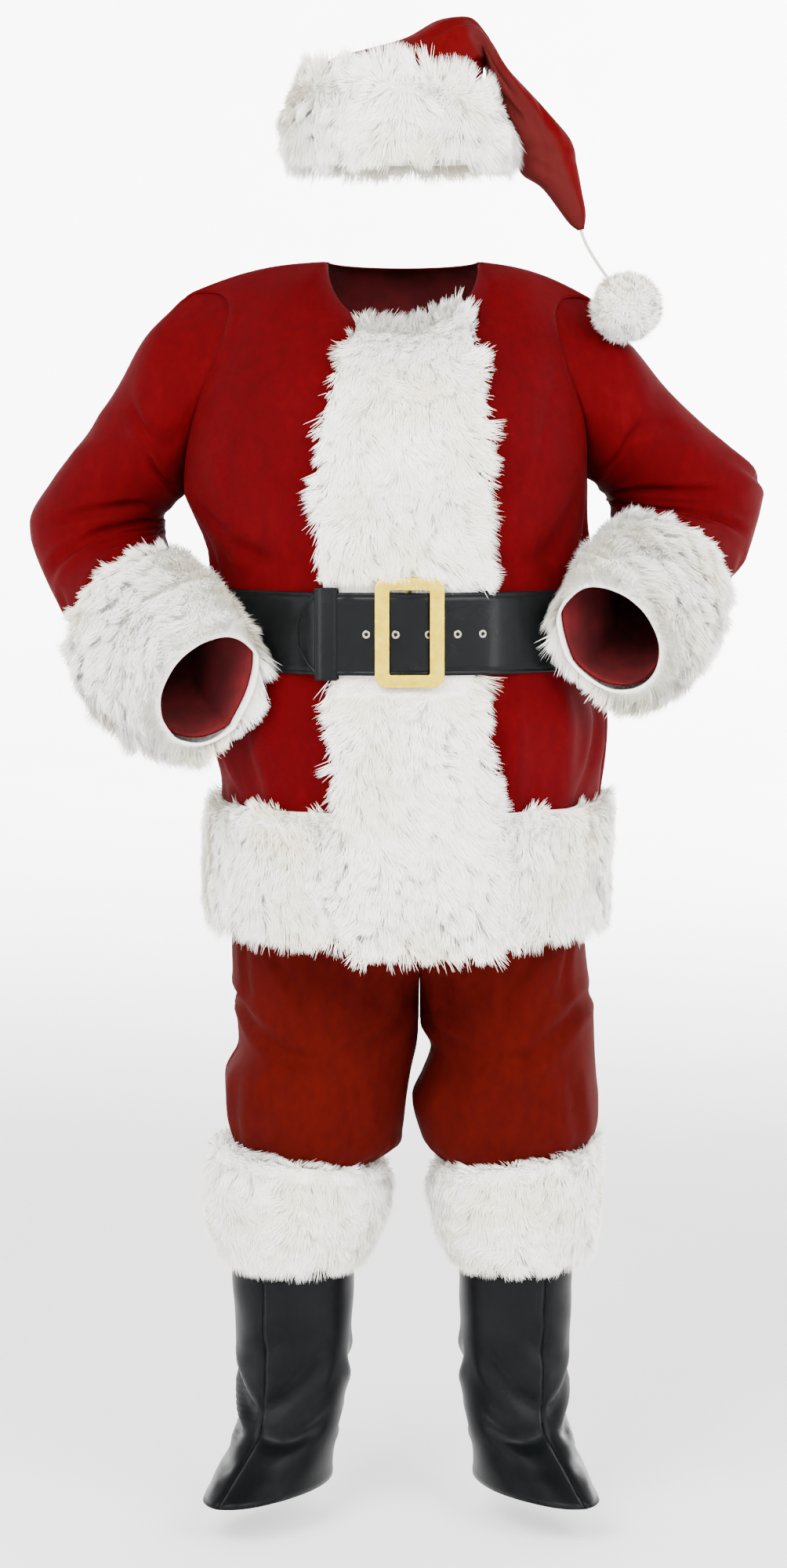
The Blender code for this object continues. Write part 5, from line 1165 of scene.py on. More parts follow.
def blades(name, roots, out, up, across, tall, lean, place, seed, gather=0.55):
    """Thin blades from their roots: each rises to its height along out and bends over by lean, a pair of
    lengths along up and across, turned with its tuft and drawn by gather to the tuft's middle; some tufts
    stray up from the rest. A blade is two triangles, widest at its middle, and is shaded mostly as the
    surface that it lies on."""
    random = np.random.default_rng(seed)
    count = len(roots)
    way, own = tufts(place, TUFT, seed)
    swirl, swell = wave(*place.T, seed, SWIRL), wave(*place.T, seed + 1, SWELL)
    turn = SWIRL_TURN * swirl + (own[:, 0] - 0.5) * TUFT_TURN + random.normal(0, BLADE_TURN, count)
    c, s = np.cos(turn), np.sin(turn)
    lean = joined(lean[:, 0] * c - lean[:, 1] * s, lean[:, 0] * s + lean[:, 1] * c)
    stray = 0.32 * (own[:, 0] > STRAY) + 0.50 * random.random(count) ** 3
    lean = lean * (1 - 0.35 * stray)[:, None] + way[:, ::-1] * gather + random.normal(0, 0.0012, (count, 2))
    tall = tall * (0.76 + 0.12 * swell + 0.10 * own[:, 1] + 0.14 * random.random(count) + 0.9 * stray)
    bent = up * lean[:, :1] + across * lean[:, 1:]
    half = unit(unit(np.cross(bent + 1e-9, out)) + random.normal(0, 0.18, (count, 3))) * BLADE_WIDTH / 2
    root, middle, tip = (
        roots + out * (tall * (1 - (1 - t) ** 1.6))[:, None] + bent * t**1.35 for t in (0.0, 0.5, 1.0))
    points = np.stack([root, middle - half, middle + half, tip], axis=1)
    faces = (np.arange(count)[:, None, None] * 4 + np.array([(0, 2, 1), (1, 2, 3)])).reshape(-1, 3)
    shade = 0.30 * own[:, 1] + 0.30 * (0.5 + 0.5 * swell) + 0.40 * random.random(count)
    # the UV's second number runs from root (0) to tip (1); the material paints shade at the root end
    lay = joined(shade[:, None], (0.0, 0.5, 0.5, 1.0))
    grown = add_mesh(name, points, faces, [LONG_PILE], lay)
    facing = unit(np.cross(half, tip - root))
    normals = np.repeat(unit(out + 0.32 * facing)[:, None], 4, axis=1)
    grown.data.normals_split_custom_set_from_vertices(normals.reshape(-1, 3))
    return grown


def scattered(fields, base, count, random, bare=None):
    """A grid's fields at places spread evenly over the area of its cells, but not where it is bare."""
    area = np.linalg.norm(np.cross(base[1:, 1:] - base[:-1, :-1], base[1:, :-1] - base[:-1, 1:]), axis=-1) / 2
    if bare is not None:
        area = np.where(bare[:-1, : area.shape[1]], 0.0, area)
    places = (np.arange(count) + random.random(count)) * area.sum() / count
    cell = np.minimum(np.searchsorted(np.cumsum(area), places), area.size - 1)
    r, c = np.divmod(cell, area.shape[1])
    fr, fc = random.random((2, count, 1))
    return (fields[r, c] * (1 - fr) * (1 - fc) + fields[r + 1, c] * fr * (1 - fc)
            + fields[r, c + 1] * (1 - fr) * fc + fields[r + 1, c + 1] * fr * fc)


def trim(name, base, out, pile, pull, length, count, seed, wrap=True, bare=None, **sheet):
    rows, columns = base.shape[:2]
    share = np.linspace(0, 1, rows)[:, None]
    rim = ease(np.minimum(share, 1 - share) / 0.10)
    if not wrap:
        beside = np.linspace(0, 1, columns)[None, :]
        rim = rim * ease(np.minimum(beside, 1 - beside) / 0.05)
    uneven = 1 + 0.10 * wave(base[..., 0] + base[..., 1], base[..., 2], seed, 0.030)
    lift = BED * pile * (0.25 + 0.75 * rim) * uneven
    bed = add_grid(name + "_bed", base + out * (SEAM + lift)[..., None], out, [PILE_BED], wrap)
    thicken(bed, BED_WALL)
    if wrap:
        closed = (np.concatenate([part, part[:, :1]], axis=1) for part in (base, out, pull, pile, lift))
        base, out, pull, pile, lift = closed
    up, across = unit(np.gradient(base, axis=0)), unit(np.gradient(base, axis=1))
    down = joined(-up[..., 2], -across[..., 2])
    fields = [base, out, up, across, pull + SAG * down, lie(base), pile[..., None], lift[..., None]]
    got = scattered(np.concatenate(fields, axis=-1), base, count, np.random.default_rng(seed), bare)
    root, out, up, across, lean, place, deep = np.split(got, (3, 6, 9, 12, 14, 16), axis=1)
    out, up, across, (pile, lift) = unit(out), unit(up), unit(across), deep.T
    tall = np.maximum(pile - lift, ROOT) + ROOT
    strength = np.minimum(np.linalg.norm(lean, axis=1, keepdims=True), 1.0)
    lean = unit(lean) * strength * np.sqrt(np.maximum(length**2 - tall**2, 0))[:, None]
    root = root + out * (lift - ROOT)[:, None]
    grown = blades(name + "_pile", root, out, up, across, tall, lean, place, seed)
    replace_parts(bed, name)


def edge_pull(rows, columns, low, high, reach=0.25, ragged=0.40):
    """A ragged pull past the lower and the upper edge of a grid, each as a share of the blades' length."""
    along = np.linspace(0, 2 * np.pi, columns)[None, :]
    share = np.linspace(0, 1, rows)[:, None] * np.ones((1, columns))
    up = high * ease((share - 1 + reach) / reach) - low * ease((reach - share) / reach)
    up = up * (1 - 0.6 * ragged + ragged * np.sin(23 * along + 2 * np.sin(7 * along)))
    return joined(up, 0.0)


CUFF = table(
    "station right left",
    (8.00, 0.010, 0.010),
    (8.25, 0.034, 0.032),
    (8.60, 0.043, 0.040),
    (9.00, 0.046, 0.043),
    (9.60, 0.044, 0.042),
    (10.0, 0.026, 0.026),
)
CUFF_PRESSED = 0.30  # share of the pile left where a cuff lies against the body
CUFF_CLEAR = 0.0095  # from the jacket, which leaves room for the belt


def make_cuffs():
    """The cuffs on the sleeves' ends; the pile is pressed flat on the side towards the body."""
    stations = np.linspace(8.10, 9.93, 30)
    for side, word in SIDES:
        base, out = sleeve_cloth(side, stations)
        towards_body = np.clip(-side * out[..., 0] + 0.5 * out[..., 1], 0, 1)
        [depth] = read(CUFF, stations[:, None], word)
        pile = depth * (1 - (1 - CUFF_PRESSED) * ease(towards_body * 1.3))
        reach = off_body(base + out * pile[..., None], CUFF_CLEAR)
        pile = np.linalg.norm(reach - base, axis=-1)
        pull = edge_pull(*pile.shape, low=0.75, high=0.35)
        pull[..., 1] += 0.3 * np.sin(np.linspace(0, 12, pile.shape[1]))[None, :]
        trim(f"fur_cuff_{word}", base, unit(reach - base), pile, pull, length=0.034, count=39000,
             seed=100 + side, flat=(0.54, 0.16), held="stretched", rests_on=[f"sleeve_{word}_front"])


def strip_edge(height, side):
    """The jacket's angle at an edge of the front strip."""
    height = np.minimum(height, ARMPIT)
    [x] = read(STRIP, height, "right" if side > 0 else "left")
    return front_angle(x, height)


def strip_theta(v, shares):
    """Angles on the jacket at shares of the front strip's width from its right edge, at each height."""
    left, right = strip_edge(v, -1)[:, None], strip_edge(v, 1)[:, None]
    return left + (right - left) * shares[None, :]


def make_front_strip():
    """The strip down the front, bare and pressed flat under the belt, whose pile leans to its edges."""
    v = np.concatenate([np.linspace(STRIP_END + 0.010, ARMPIT, 66)[:-1], ARMPIT + np.linspace(0, 0.985, 26)])
    inset = np.linspace(0.03, 0.97, 30)
    theta = strip_theta(v, inset)
    v = v[:, None] + 0 * theta
    base, out = jacket_cloth(theta, v)
    [pile] = read(STRIP, np.minimum(v, STRIP_TOP), "pile")
    pile = pile * (0.60 + 0.40 * np.sin(np.pi * inset)[None, :] ** 0.6)
    belted = (v > BELT_BAND[0] - 0.002) & (v < BELT_BAND[1] + 0.002)
    pile = np.where(belted, STRIP_PRESSED * strip_under(base[..., 0]), pile)
    over_belt = bell((v - BELT_BAND[1] - 0.010) / 0.014) * (v > BELT_BAND[1])
    aside = 2 * inset[None, :] - 1
    aside = 0.75 * aside * np.abs(aside) + 0.22 + 0.25 * np.sin(v * 23)
    pull = joined(0.10 * np.sin(v * 40) + 0.9 * over_belt, aside)
    trim("fur_front_strip", base, out, pile, pull, length=0.034, count=50000, seed=110,
         wrap=False, bare=belted, flat=(0.19, 0.80), held="hung", rests_on=["jacket_front_right"])


def make_hem_band():
    """The band round the jacket's hem, from under one edge of the front strip to under the other."""
    v = np.linspace(HEM_BAND["height"][0] + 0.012, HEM_BAND["height"][-1] - 0.008, 24)
    left = strip_edge(v, 1)[:, None] - UNDER_STRIP
    right = strip_edge(v, -1)[:, None] + 2 * np.pi + UNDER_STRIP
    theta = left + (right - left) * np.linspace(0, 1, 120)[None, :]
    v = v[:, None] + 0 * theta
    base, out = jacket_cloth(theta, v)
    pile = read(HEM_BAND, v, "pile")[0] + 0.002
    pull = edge_pull(*pile.shape, low=0.40, high=1.25)
    pull[..., 1] += 0.22 * np.sin(9 * theta) + 0.12 * np.sin(23 * theta)
    trim("fur_hem_band", base, out, pile, pull, length=0.032, count=72000, seed=111, wrap=False,
         flat=(1.12, 0.16), held="hung", rests_on=["jacket_back"])


BOOT_FUR_RIGHT = table(
    "share outer inner front back",
    (0.00, -0.2125, -0.0545, 0.080, 0.080),
    (0.10, -0.2260, -0.0400, 0.094, 0.094),
    (0.30, -0.2390, -0.0250, 0.108, 0.106),
    (0.55, -0.2450, -0.0130, 0.121, 0.115),
    (0.85, -0.2430, -0.0090, 0.128, 0.119),
    (1.00, -0.2330, -0.0180, 0.123, 0.112),
)
BOOT_FUR_LEFT = table(
    "share outer inner front back",
    (0.00, 0.2125, 0.0645, 0.076, 0.076),
    (0.10, 0.2300, 0.0540, 0.092, 0.092),
    (0.30, 0.2400, 0.0400, 0.106, 0.104),
    (0.55, 0.2440, 0.0310, 0.119, 0.114),
    (0.85, 0.2470, 0.0270, 0.127, 0.118),
    (1.00, 0.2420, 0.0330, 0.122, 0.112),
)
BOOT_FUR_BOTTOM = 0.322
FUR_TOP_MIDDLE, FUR_TOP_LEAN = 0.458, 0.014  # the band's top edge rises towards the outer side


def boot_lip(turn, height, side):
    """The ring just off the trouser leg that the band's top edge turns in to."""
    right, ahead = np.sin(turn), np.cos(turn)
    u = np.arccos(np.clip(-right * side, -1, 1)) / np.pi
    legs = [leg_point(u, height, side, front) for front in (True, False)]
    leg = np.where((ahead > 0)[..., None], *legs)
    return leg + 0.003 * joined(right, -ahead, 0.0)


def make_boot_fur():
    """The bands above the boot tops: the pile hangs below and stands out above, and its last rows turn
    in over the top edge to the trouser leg."""
    turn = full_turn(70)[None, :]
    share = np.linspace(0.09, 0.93, 24)[:, None]
    right, ahead = np.sin(turn), np.cos(turn)
    inwards = np.array([0.30, 0.62, 1.0])[:, None, None]
    for side, word in SIDES:
        band = BOOT_FUR_LEFT if side > 0 else BOOT_FUR_RIGHT
        outer, inner, front, back = read(band, share, "outer", "inner", "front", "back")
        height = BOOT_FUR_BOTTOM + (FUR_TOP_MIDDLE + FUR_TOP_LEAN * right * side - BOOT_FUR_BOTTOM) * share
        middle, half = (outer + inner) / 2, (outer - inner) / 2
        depth = np.where(ahead > 0, front, back)
        out = joined(right, -ahead, 0 * height)
        surface = joined(middle + half * right * side, -depth * ahead, height)
        pile = 0.022 + 0.008 * np.sin(np.pi * share) + 0 * height
        base = surface - out * pile[..., None]
        lip = base[-1:] + out[-1:] * (0.6 * pile[-1:])[..., None]
        to_leg = boot_lip(turn, height[-1:], side) - lip
        base = np.concatenate([base, lip + to_leg * inwards + (0, 0, 0.004) * np.sin(np.pi * inwards)])
        out = np.concatenate([out, unit(out[-1:] * (1 - inwards) * 0.8 + (0.0, 0.0, 1.0))])
        pile = np.concatenate([pile, 0.010 + 0 * pile[-3:]])
        pull = edge_pull(*pile.shape, low=0.60, high=0.75)
        pull[..., 1] += 0.30 * np.sin(5 * turn + side) + 0.15 * np.sin(13 * turn)
        trim(f"boot_fur_{word}", base, out, pile, pull, length=0.036, count=40000,
             seed=120 + side, flat=(0.62, 0.14), held="stretched", rests_on=[f"boot_top_{word}_outer"])


HAT_FUR = table(
    "share pile right_pile",
    (0.00, 0.018, 0.018),
    (0.15, 0.034, 0.036),
    (0.42, 0.041, 0.040),
    (0.72, 0.038, 0.022),
    (1.00, 0.010, 0.004),
)
HAT_FUR_BOTTOM, HAT_FUR_TOP, HAT_FUR_TOP_RIGHT = 1.648, 1.769, 1.742


def make_hat_fur():
    """The band round the hat: deep and high on one side, and lower on the other, where the tail hangs."""
    columns = 76
    ring = crown_cloth(np.array([0.0, 0.1]), full_turn(columns))[0]
    out = unit(outward(np.stack([ring, ring + (0, 0, 0.01)]))[0] * (1, 1, 0))
    from_middle = ring - ring.mean(axis=0)
    to_right = ease((from_middle[:, 0] / from_middle[:, 0].max() + 0.15) / 1.15)[None, :] ** 1.5
    share = np.linspace(0.07, 0.90, 24)[:, None]
    top = HAT_FUR_TOP + (HAT_FUR_TOP_RIGHT - HAT_FUR_TOP) * to_right
    deep, right_deep = read(HAT_FUR, share, "pile", "right_pile")
    pile = deep * (1 - to_right) + right_deep * to_right + 0.006 * to_right
    pile = pile * (1 - 0.35 * ease((share - 0.45) / 0.45) * (1 - to_right))
    base = np.repeat(ring[None] * (1, 1, 0) + out[None] * 0.001, len(share), axis=0)
    base[..., 2] = HAT_FUR_BOTTOM + (top - HAT_FUR_BOTTOM) * share
    pull = edge_pull(*pile.shape, low=0.15, high=1.7, reach=0.45, ragged=0.12)
    turn = np.linspace(0, 2 * np.pi, columns)[None, :]
    pull[..., 1] += 0.30 * np.sin(3 * turn) + 0.25 * np.sin(8 * turn + 1)
    out = np.repeat(out[None], len(share), axis=0)
    trim("hat_fur_band", base, out, pile, pull, length=0.036, count=49000, seed=130,
         flat=(0.66, 0.13), held="stretched", rests_on=["hat_crown_front"])


POMPOM_CENTRE = np.array([0.2650, -0.0520, 1.4790])
POMPOM_REACH, POMPOM_BED, POMPOM_BLADES = 0.0455, 0.030, 18000
CORD_THICK = 0.0042
CORD_START, CORD_DOWN = np.array([0.2124, 0.0, 1.5750]), np.array([0.21, 0.0, -0.977])
CORD_ARRIVES = np.array([-0.45, 0.48, 0.76])  # from the ball's middle to where the cord goes in
CORD_REACH = 0.0330  # from the ball's middle to the cord's end, just off the ball's facet
CORD_BEND, CORD_POINTS, CORD_TURNS = 0.026, 14, 9


def cord_route():
    """The cord's middle line: out of the hat's tip, downwards, then straight in to the ball."""
    end = POMPOM_CENTRE + unit(CORD_ARRIVES) * CORD_REACH
    controls = (CORD_START, CORD_START + CORD_DOWN * CORD_BEND, end + unit(CORD_ARRIVES) * CORD_BEND, end)
    t = np.linspace(0, 1, CORD_POINTS)[:, None]
    return sum(p * k * t**i * (1 - t) ** (3 - i) for i, (p, k) in enumerate(zip(controls, (1, 3, 3, 1))))


def twisted(route):
    """Rings of two strands twisted round each other along a route: a circle with two waists that turn."""
    along = unit(np.gradient(route, axis=0))
    side = unit(np.cross(along, (0.3, 1.0, 0.1)))
    far = np.cross(along, side)
    angle = full_turn(16)[None, :]
    twist = np.linspace(0, 2 * np.pi * CORD_TURNS, len(route))[:, None]
    radius = CORD_THICK / 2 * (0.84 + 0.16 * np.abs(np.cos(angle - twist)))
    across = np.cos(angle)[..., None] * side[:, None] + np.sin(angle)[..., None] * far[:, None]
    return route[:, None] + radius[..., None] * across


def make_cord_and_pompom():
    """The cord down its route, and at its end the ball: a bed, and blades that stand evenly all round it."""
    route = cord_route()
    route = follow(np.linspace(0, len(route) - 1, 90), np.arange(len(route)), route)
    rings = twisted(route)
    cord = add_mesh("pompom_cord_twist", rings, grid_quads(*rings.shape[:2], True), [CORD])
    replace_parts(cord, "pompom_cord")

    step = np.arange(POMPOM_BLADES) + 0.5
    level, turn = 1 - 2 * step / POMPOM_BLADES, step * np.pi * (3 - np.sqrt(5))
    wide = np.sqrt(1 - level**2)
    out = joined(wide * np.cos(turn), wide * np.sin(turn), level)
    up = unit(np.cross(out, np.cross((0.0, 0.0, 1.0), out) + 1e-6))
    place = joined(np.arcsin(level), turn % (2 * np.pi)) * POMPOM_REACH
    tall = np.full(POMPOM_BLADES, POMPOM_REACH - POMPOM_BED - 0.0035)
    lean = np.random.default_rng(141).normal(0, 0.0045, (POMPOM_BLADES, 2))
    roots = POMPOM_CENTRE + out * (POMPOM_BED - ROOT)
    grown = blades("pompom_pile", roots, out, up, np.cross(up, out), tall, lean, place, 140, gather=1.0)
    fall = np.linspace(0.001, np.pi - 0.001, 30)[:, None]
    turn = full_turn(48)[None, :]
    ball = joined(np.sin(fall) * np.cos(turn), np.sin(fall) * np.sin(turn), np.cos(fall))
    uneven = 1 + 0.06 * wave(ball[..., 0], ball[..., 1] + ball[..., 2], 141, 0.5)
    surface = POMPOM_CENTRE + ball * (POMPOM_BED * uneven)[..., None]
    bed = add_grid("pompom_bed", surface, ball, [PILE_BED], True)
    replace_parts(bed, "pompom")


# ---------------------------------------------------------------- belt

BELT_THICK = 0.0035
BAR_ROOM = 0.0034  # between the belt's two layers, for the buckle's centre bar
KEEPER_X, KEEPER_WIDTH, KEEPER_HEIGHT, KEEPER_THICK = -0.084, 0.024, 0.107, 0.0022
KEEPER_LINE = 0.72  # where its edge lines are, as a share of its half width
TIP_X, BUCKLE_X = -0.117, 0.007  # where the strap ends, and the middle of the buckle
FRONT_EDGE = 0.150  # x, to each side, where the strap's layers in front join its way round the back


def strip_under(x):
    """The strip's depth where the belt presses it flat."""
    return STRIP_UNDER_BELT * (1 - ease((np.abs(x) - 0.075) / 0.075))


def belt_lift(x):
    """How far the belt's inner face stands off the jacket: over the strip, and over the keeper's back."""
    keeper = (KEEPER_THICK + 2 * SEAM) * (1 - ease((np.abs(x - KEEPER_X) - KEEPER_WIDTH / 2) / 0.020))
    return SEAM * 1.5 + strip_under(x) + keeper


def lap_lift(x):
    """What the outer layer adds: it climbs from the right over the strap's start and the centre bar."""
    bar = BAR_ROOM * np.exp(-(((x - BUCKLE_X) / 0.035) ** 4))
    return (BELT_THICK + SEAM + bar) * (1 - ease((x - 0.010) / 0.080))


def belt_frame(theta):
    """Points and normals of the jacket along the belt's middle line."""
    middle = np.full_like(theta, BELT_MIDDLE)
    normal = jacket_normal(theta, middle)
    normal[..., 2] = 0
    return jacket_point(theta, middle), unit(normal)


def rounded(profile, steps, corner):
    """A closed profile of points with each corner rounded by an arc of that radius, in steps."""
    profile = np.asarray(profile, float)
    before, after = (unit(np.roll(profile, way, axis=0) - profile) * corner for way in (1, -1))
    t = np.linspace(0, 1, steps)[None, :, None]
    start, middle, end = (points[:, None] for points in (profile + before, profile, profile + after))
    return (start * (1 - t) ** 2 + 2 * middle * t * (1 - t) + end * t**2).reshape(-1, 2)


def strap_section():
    """The strap's closed section, as places across it and depths: two pressed lines and rolled edges."""
    half = (BELT_BAND[1] - BELT_BAND[0]) / 2
    edge = np.array([0, 0.0006, 0.0018, 0.0040, 0.0046, 0.0050, 0.0054, 0.0060, 0.0110, 0.0240, 0.0400])
    line = -0.0006 * bell((edge - 0.0050) / 0.0006)
    sunk = line - 0.0013 * (1 - np.minimum(edge / 0.0018, 1)) ** 2
    side = np.concatenate([edge, [half], 2 * half - edge[::-1]]) - half
    face = BELT_THICK + np.concatenate([sunk, [0], sunk[::-1]])
    return np.concatenate([side, side[::-1]]), np.concatenate([face, 0 * face])


def make_strap():
    """The strap as one closed section swept along its path, and the outer face of its lapped front."""
    under = front_angle(np.linspace(BUCKLE_X - 0.006, -FRONT_EDGE, 30), BELT_MIDDLE)
    over = front_angle(np.linspace(FRONT_EDGE, TIP_X, 90), BELT_MIDDLE)
    around = np.linspace(under[-1], over[0] - 2 * np.pi, 96)[1:-1]
    theta = np.concatenate([under, around, over])
    points, normals = belt_frame((theta + np.pi) % (2 * np.pi) - np.pi)
    x, behind = points[:, 0], points[:, 1] > 0
    lapped = np.arange(len(theta)) >= len(under) + len(around)
    lift = np.where(behind, SEAM * 1.5, belt_lift(x)) + np.where(lapped, lap_lift(x), 0.0)
    lift += 0.0004 * gathers(theta, 9) * behind
    taper = np.where(lapped, np.interp(x - TIP_X, (0, 0.004, 0.012, 0.021), (0.22, 0.46, 0.80, 1.0)), 1.0)
    side, deep = strap_section()
    flat = points[:, None, :2] + normals[:, None, :2] * (lift[:, None] + deep)[..., None]
    grid = np.concatenate([flat, (BELT_MIDDLE + side * taper[:, None])[..., None]], axis=-1)
    first, last = (end.mean(axis=1, keepdims=True).repeat(len(side), 1) for end in (grid[:1], grid[-1:]))
    ends = np.concatenate([first, grid, last])
    piece = add_grid("belt_strap_vinyl", ends, ends - ends.mean(axis=1, keepdims=True), [BELT_VINYL], True)
    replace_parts(piece, "belt_strap")
    return (points[:, :2] + normals[:, :2] * (lift + BELT_THICK)[:, None])[lapped]


def make_keeper():
    """The flat loop round both layers: a rounded strip with an edge line along each side."""
    half_across = np.array([0, 0.68, KEEPER_LINE, 0.76, 0.90, 0.97, 1])
    across = np.concatenate([-half_across[:0:-1], half_across])
    points, normals = belt_frame(front_angle(KEEPER_X + KEEPER_WIDTH / 2 * across, BELT_MIDDLE))
    base = (belt_lift(np.full(len(across), KEEPER_X)) - SEAM)[:, None]
    depth, half = 2 * BELT_THICK + 3 * SEAM, (KEEPER_HEIGHT - 2 * KEEPER_THICK) / 2
    near = rounded([(0.0, -half), (depth, -half), (depth, half), (0.0, half)], 6, 0.0012)
    line = 0.0004 * bell((np.abs(across) - KEEPER_LINE) / 0.03)
    dip = line + 0.0009 * np.clip((np.abs(across) - 0.90) / 0.10, 0, 1)
    from_middle = near - near.mean(axis=0)
    away = unit(from_middle + np.sign(from_middle) * 0.2)
    rings = []
    for extra in (KEEPER_THICK - dip, 0 * dip):
        profile = near[None] + away[None] * extra[:, None, None] * 1.2
        flat = points[:, None, :2] + normals[:, None, :2] * (base + profile[..., 0])[..., None]
        rings.append(np.concatenate([flat, BELT_MIDDLE + profile[..., 1:]], axis=-1))
    grid = np.concatenate([rings[0], rings[1][::-1], rings[0][:1]])
    piece = add_grid("belt_keeper_vinyl", grid, grid - grid.mean(axis=(0, 1)), [BELT_VINYL], True)
    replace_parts(piece, "belt_keeper")


BUCKLE_SIZE, BUCKLE_BAR, BUCKLE_CHAMFER, BUCKLE_THICK = (0.0800, 0.1270), 0.0170, 0.0090, 0.0042
BUCKLE_MIDDLE = 1.105  # height of its middle
BUCKLE_ROLL, BUCKLE_CROWN = 0.0016, 0.0003  # radius of its rolled edges, and rise of its face
FRAME_CORNER, WINDOW_CORNER = 0.0011, 0.0004  # radii at the corners of the frame and of its window


def chamfered(width, height, cut):
    """The eight corners of a rectangle with cut corners."""
    w, h = width / 2, height / 2
    quarter = np.array([(w - cut, -h), (w, -h + cut)])
    return np.concatenate([quarter, quarter[::-1] * (1, -1), -quarter, quarter[::-1] * (-1, 1)])


def make_buckle(belt_face):
    """The frame: a section with a crowned face and rolled edges, from the outside round to the window.
    The bar: a rounded section that goes in behind the strap's outer layer and comes out again."""
    width, height = BUCKLE_SIZE
    beside = np.abs(belt_face[:, 0] - BUCKLE_X) < width / 2 + 0.004
    back = belt_face[beside, 1].min() - SEAM
    window = (width - 2 * BUCKLE_BAR, height - 2 * BUCKLE_BAR + 0.003)
    roll = [(BUCKLE_ROLL * (1 - np.cos(a)), BUCKLE_THICK - BUCKLE_ROLL + BUCKLE_ROLL * np.sin(a))
            for a in np.linspace(0, np.pi / 2, 5)]
    crown = BUCKLE_THICK + BUCKLE_CROWN
    rings = []
    for inset, out in [(0.0, 0.0), *roll, (0.0060, crown)]:
        corners = chamfered(width - 2 * inset, height - 2 * inset, BUCKLE_CHAMFER - 0.5 * inset)
        rings.append((rounded(corners, 4, FRAME_CORNER), out))
    for inset, out in [(0.0050, crown), *roll[::-1], (0.0, 0.0)]:
        corners = chamfered(window[0] + 2 * inset, window[1] + 2 * inset, 0.0012 + 0.5 * inset)
        rings.append((rounded(corners, 4, WINDOW_CORNER), out))
    rings = [joined(BUCKLE_X + flat[:, 0], back - out, BUCKLE_MIDDLE + flat[:, 1]) for flat, out in rings]
    grid = np.stack([*rings, rings[0]])
    ahead = np.broadcast_to((0.0, -1.0, 0.0), grid.shape) * (grid[..., 1:2] < back - BUCKLE_THICK + 0.0002)
    frame = add_grid("buckle_frame_gold", grid, ahead, [GOLD], True)
    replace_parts(frame, "buckle_frame")
    thick, wide, half_span = 0.0026, 0.0050, (height - BUCKLE_BAR) / 2 - 0.001
    reach = BELT_THICK + 3.5 * SEAM
    side, deep = rounded([(-wide / 2, 0), (wide / 2, 0), (wide / 2, thick), (-wide / 2, thick)], 4, 0.0009).T
    path = ((-half_span, -0.001), (-half_span, reach), (half_span, reach), (half_span, -0.001))
    bar = np.stack([joined(BUCKLE_X + side, back + behind + deep, BUCKLE_MIDDLE + up) for up, behind in path])
    piece = add_grid("buckle_bar_gold", bar, bar - bar.mean(axis=1, keepdims=True), [GOLD], True)


EYELET_X = (-0.0425, -0.0090, 0.0290, 0.0620, 0.0910)
EYELET_OUTER, EYELET_HOLE, EYELET_THICK = 0.0049, 0.0020, 0.0009
EYELET_WALL, EYELET_OFF, EYELET_DEEP = 0.0002, 0.0002, 0.0012  # its sheet, room off the strap, hole's depth


def make_eyelets(belt_face):
    """Pressed rings with a rounded lip and a dark hole, on the strap's outer layer."""
    xs, ys = belt_face[np.argsort(belt_face[:, 0])].T
    section = np.linspace(0, np.pi, 7)
    middle, half = (EYELET_OUTER + EYELET_HOLE) / 2, (EYELET_OUTER - EYELET_HOLE) / 2
    radii = np.append(middle + half * np.cos(section), EYELET_HOLE)[:, None, None]
    heights = np.append(EYELET_THICK * np.sin(section) ** 0.7, -EYELET_DEEP)[:, None, None] + EYELET_OFF
    turn = full_turn(24)[:, None]
    for number, x in enumerate(EYELET_X, 1):
        slope = (np.interp(x + 0.004, xs, ys) - np.interp(x - 0.004, xs, ys)) / 0.008
        side = unit(np.array([1.0, slope, 0.0]))
        out = np.array([side[1], -side[0], 0.0])
        circle = np.cos(turn) * side + np.sin(turn) * np.array([0.0, 0.0, 1.0])
        grid = (x, np.interp(x, xs, ys), BELT_MIDDLE) + circle * radii + out * heights
        piece = add_grid(f"eyelet_{number}_ring", grid, np.broadcast_to(out, grid.shape), [NICKEL], True)
        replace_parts(thicken(piece, EYELET_WALL), f"eyelet_{number}")


# ---------------------------------------------------------------- camera, light and floor

CAMERA, AIM = (-0.0114, -4.7, -0.150), (-0.0114, 0.0, -0.593)
LENS = 89.4  # millimetres, on a sensor 36 mm high


def look(place, aim):
    """The turn that points a camera or a lamp from its place at its aim."""
    return (Vector(aim) - Vector(place)).to_track_quat("-Z", "Y").to_euler()


def make_camera():
    """A camera a little above the belt, which sees the suit from the hat to the boot tops."""
    camera = bpy.data.objects.new("camera", bpy.data.cameras.new("camera"))
    camera.location, camera.rotation_euler = CAMERA, look(CAMERA, AIM)
    camera.data.lens, camera.data.sensor_width = LENS, 36.0
    camera.data.dof.use_dof = False
    bpy.context.scene.collection.objects.link(camera)
    bpy.context.scene.camera = camera


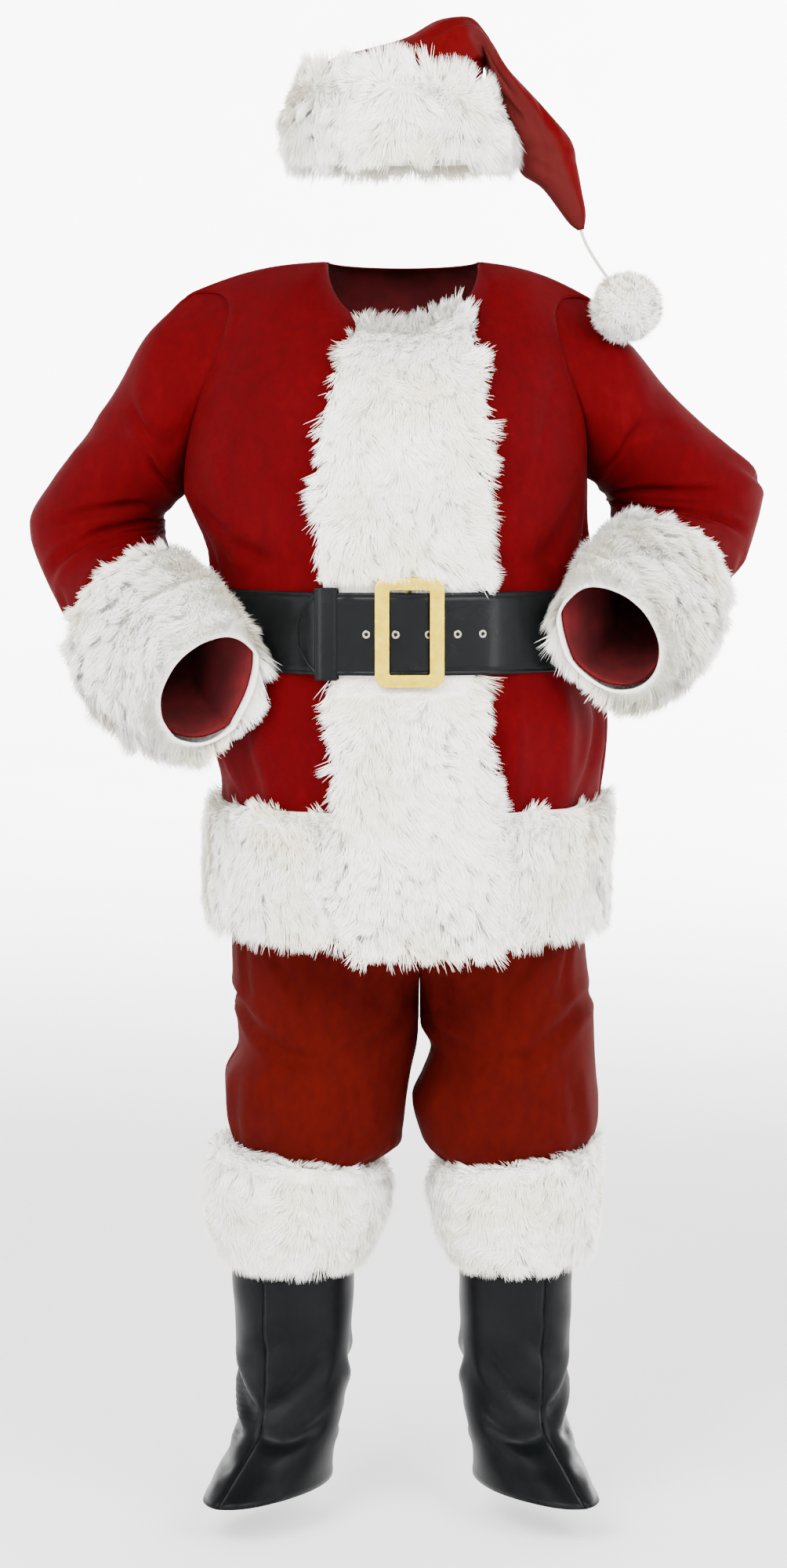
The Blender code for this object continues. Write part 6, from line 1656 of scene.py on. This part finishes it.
def softbox(name, place, width, height, watts, aim=(0.0, 0.0, -0.6)):
    """A soft rectangular lamp that the camera doesn't see."""
    light = bpy.data.lights.new(name, "AREA")
    light.shape, light.size, light.size_y, light.energy = "RECTANGLE", width, height, watts
    lamp = bpy.data.objects.new(name, light)
    lamp.location, lamp.rotation_euler = place, look(place, aim)
    lamp.visible_camera = False
    bpy.context.scene.collection.objects.link(lamp)


def pale_floor(tree, place):
    """Plain matt paper."""
    white = mottled(tree, place, 400, "#F6F5F5", "#FAF9F9")
    return {"Base Color": white, "Roughness": 0.9, "Specular IOR Level": 0.2}


FLOOR_RADIUS, COVE, WALL = 11.0, 7.0, 9.0  # of the paper: its flat part, its curve, and its height


def make_studio():
    """A floor of pale paper whose edge curves up all round, with a large soft key on the left, a fill on
    the right, two narrow lights at the sides and four that wash the paper, the rear ones brightest."""
    x, y = np.meshgrid(*[np.linspace(-20, 20, 121)] * 2)
    rise = WALL * ease((np.hypot(x, y) - FLOOR_RADIUS) / COVE)
    up = np.array((0.0, 0.0, 1.0))
    add_grid("paper_floor", joined(x, y, rise), up, [finish("matt_paper", pale_floor)])
    world = bpy.data.worlds.new("studio")
    world.use_nodes = True
    sky = world.node_tree.nodes["Background"].inputs
    sky["Color"].default_value, sky["Strength"].default_value = linear("#F2F1F1"), 1.6
    bpy.context.scene.world = world
    softbox("key", (-1.7, -3.4, 2.2), width=2.6, height=2.2, watts=355)
    softbox("fill", (2.3, -3.3, 1.7), width=2.4, height=2.0, watts=225)
    for x in (-1, 1):
        softbox(f"strip_{x}", (x * 3.3, -2.4, -0.4), width=0.5, height=2.4, watts=40)
        for y, watts in ((-1, 1800), (1, 6600 + 2400 * x)):
            softbox(f"wash_{x}_{y}", (x * 5.0, y * 5.0, 6.0), 3.0, 3.0, watts, (x * 8.5, y * 13.0, 0.8))


make_camera()
make_cord_and_pompom()
make_jacket_body()
make_sleeves()
make_trousers()
make_waistband()
make_boot_tops()
make_crown()
belt_face = make_strap()
make_keeper()
make_buckle(belt_face)
make_eyelets(belt_face)
make_front_strip()
make_hem_band()
make_cuffs()
make_boot_fur()
make_hat_fur()
make_studio()
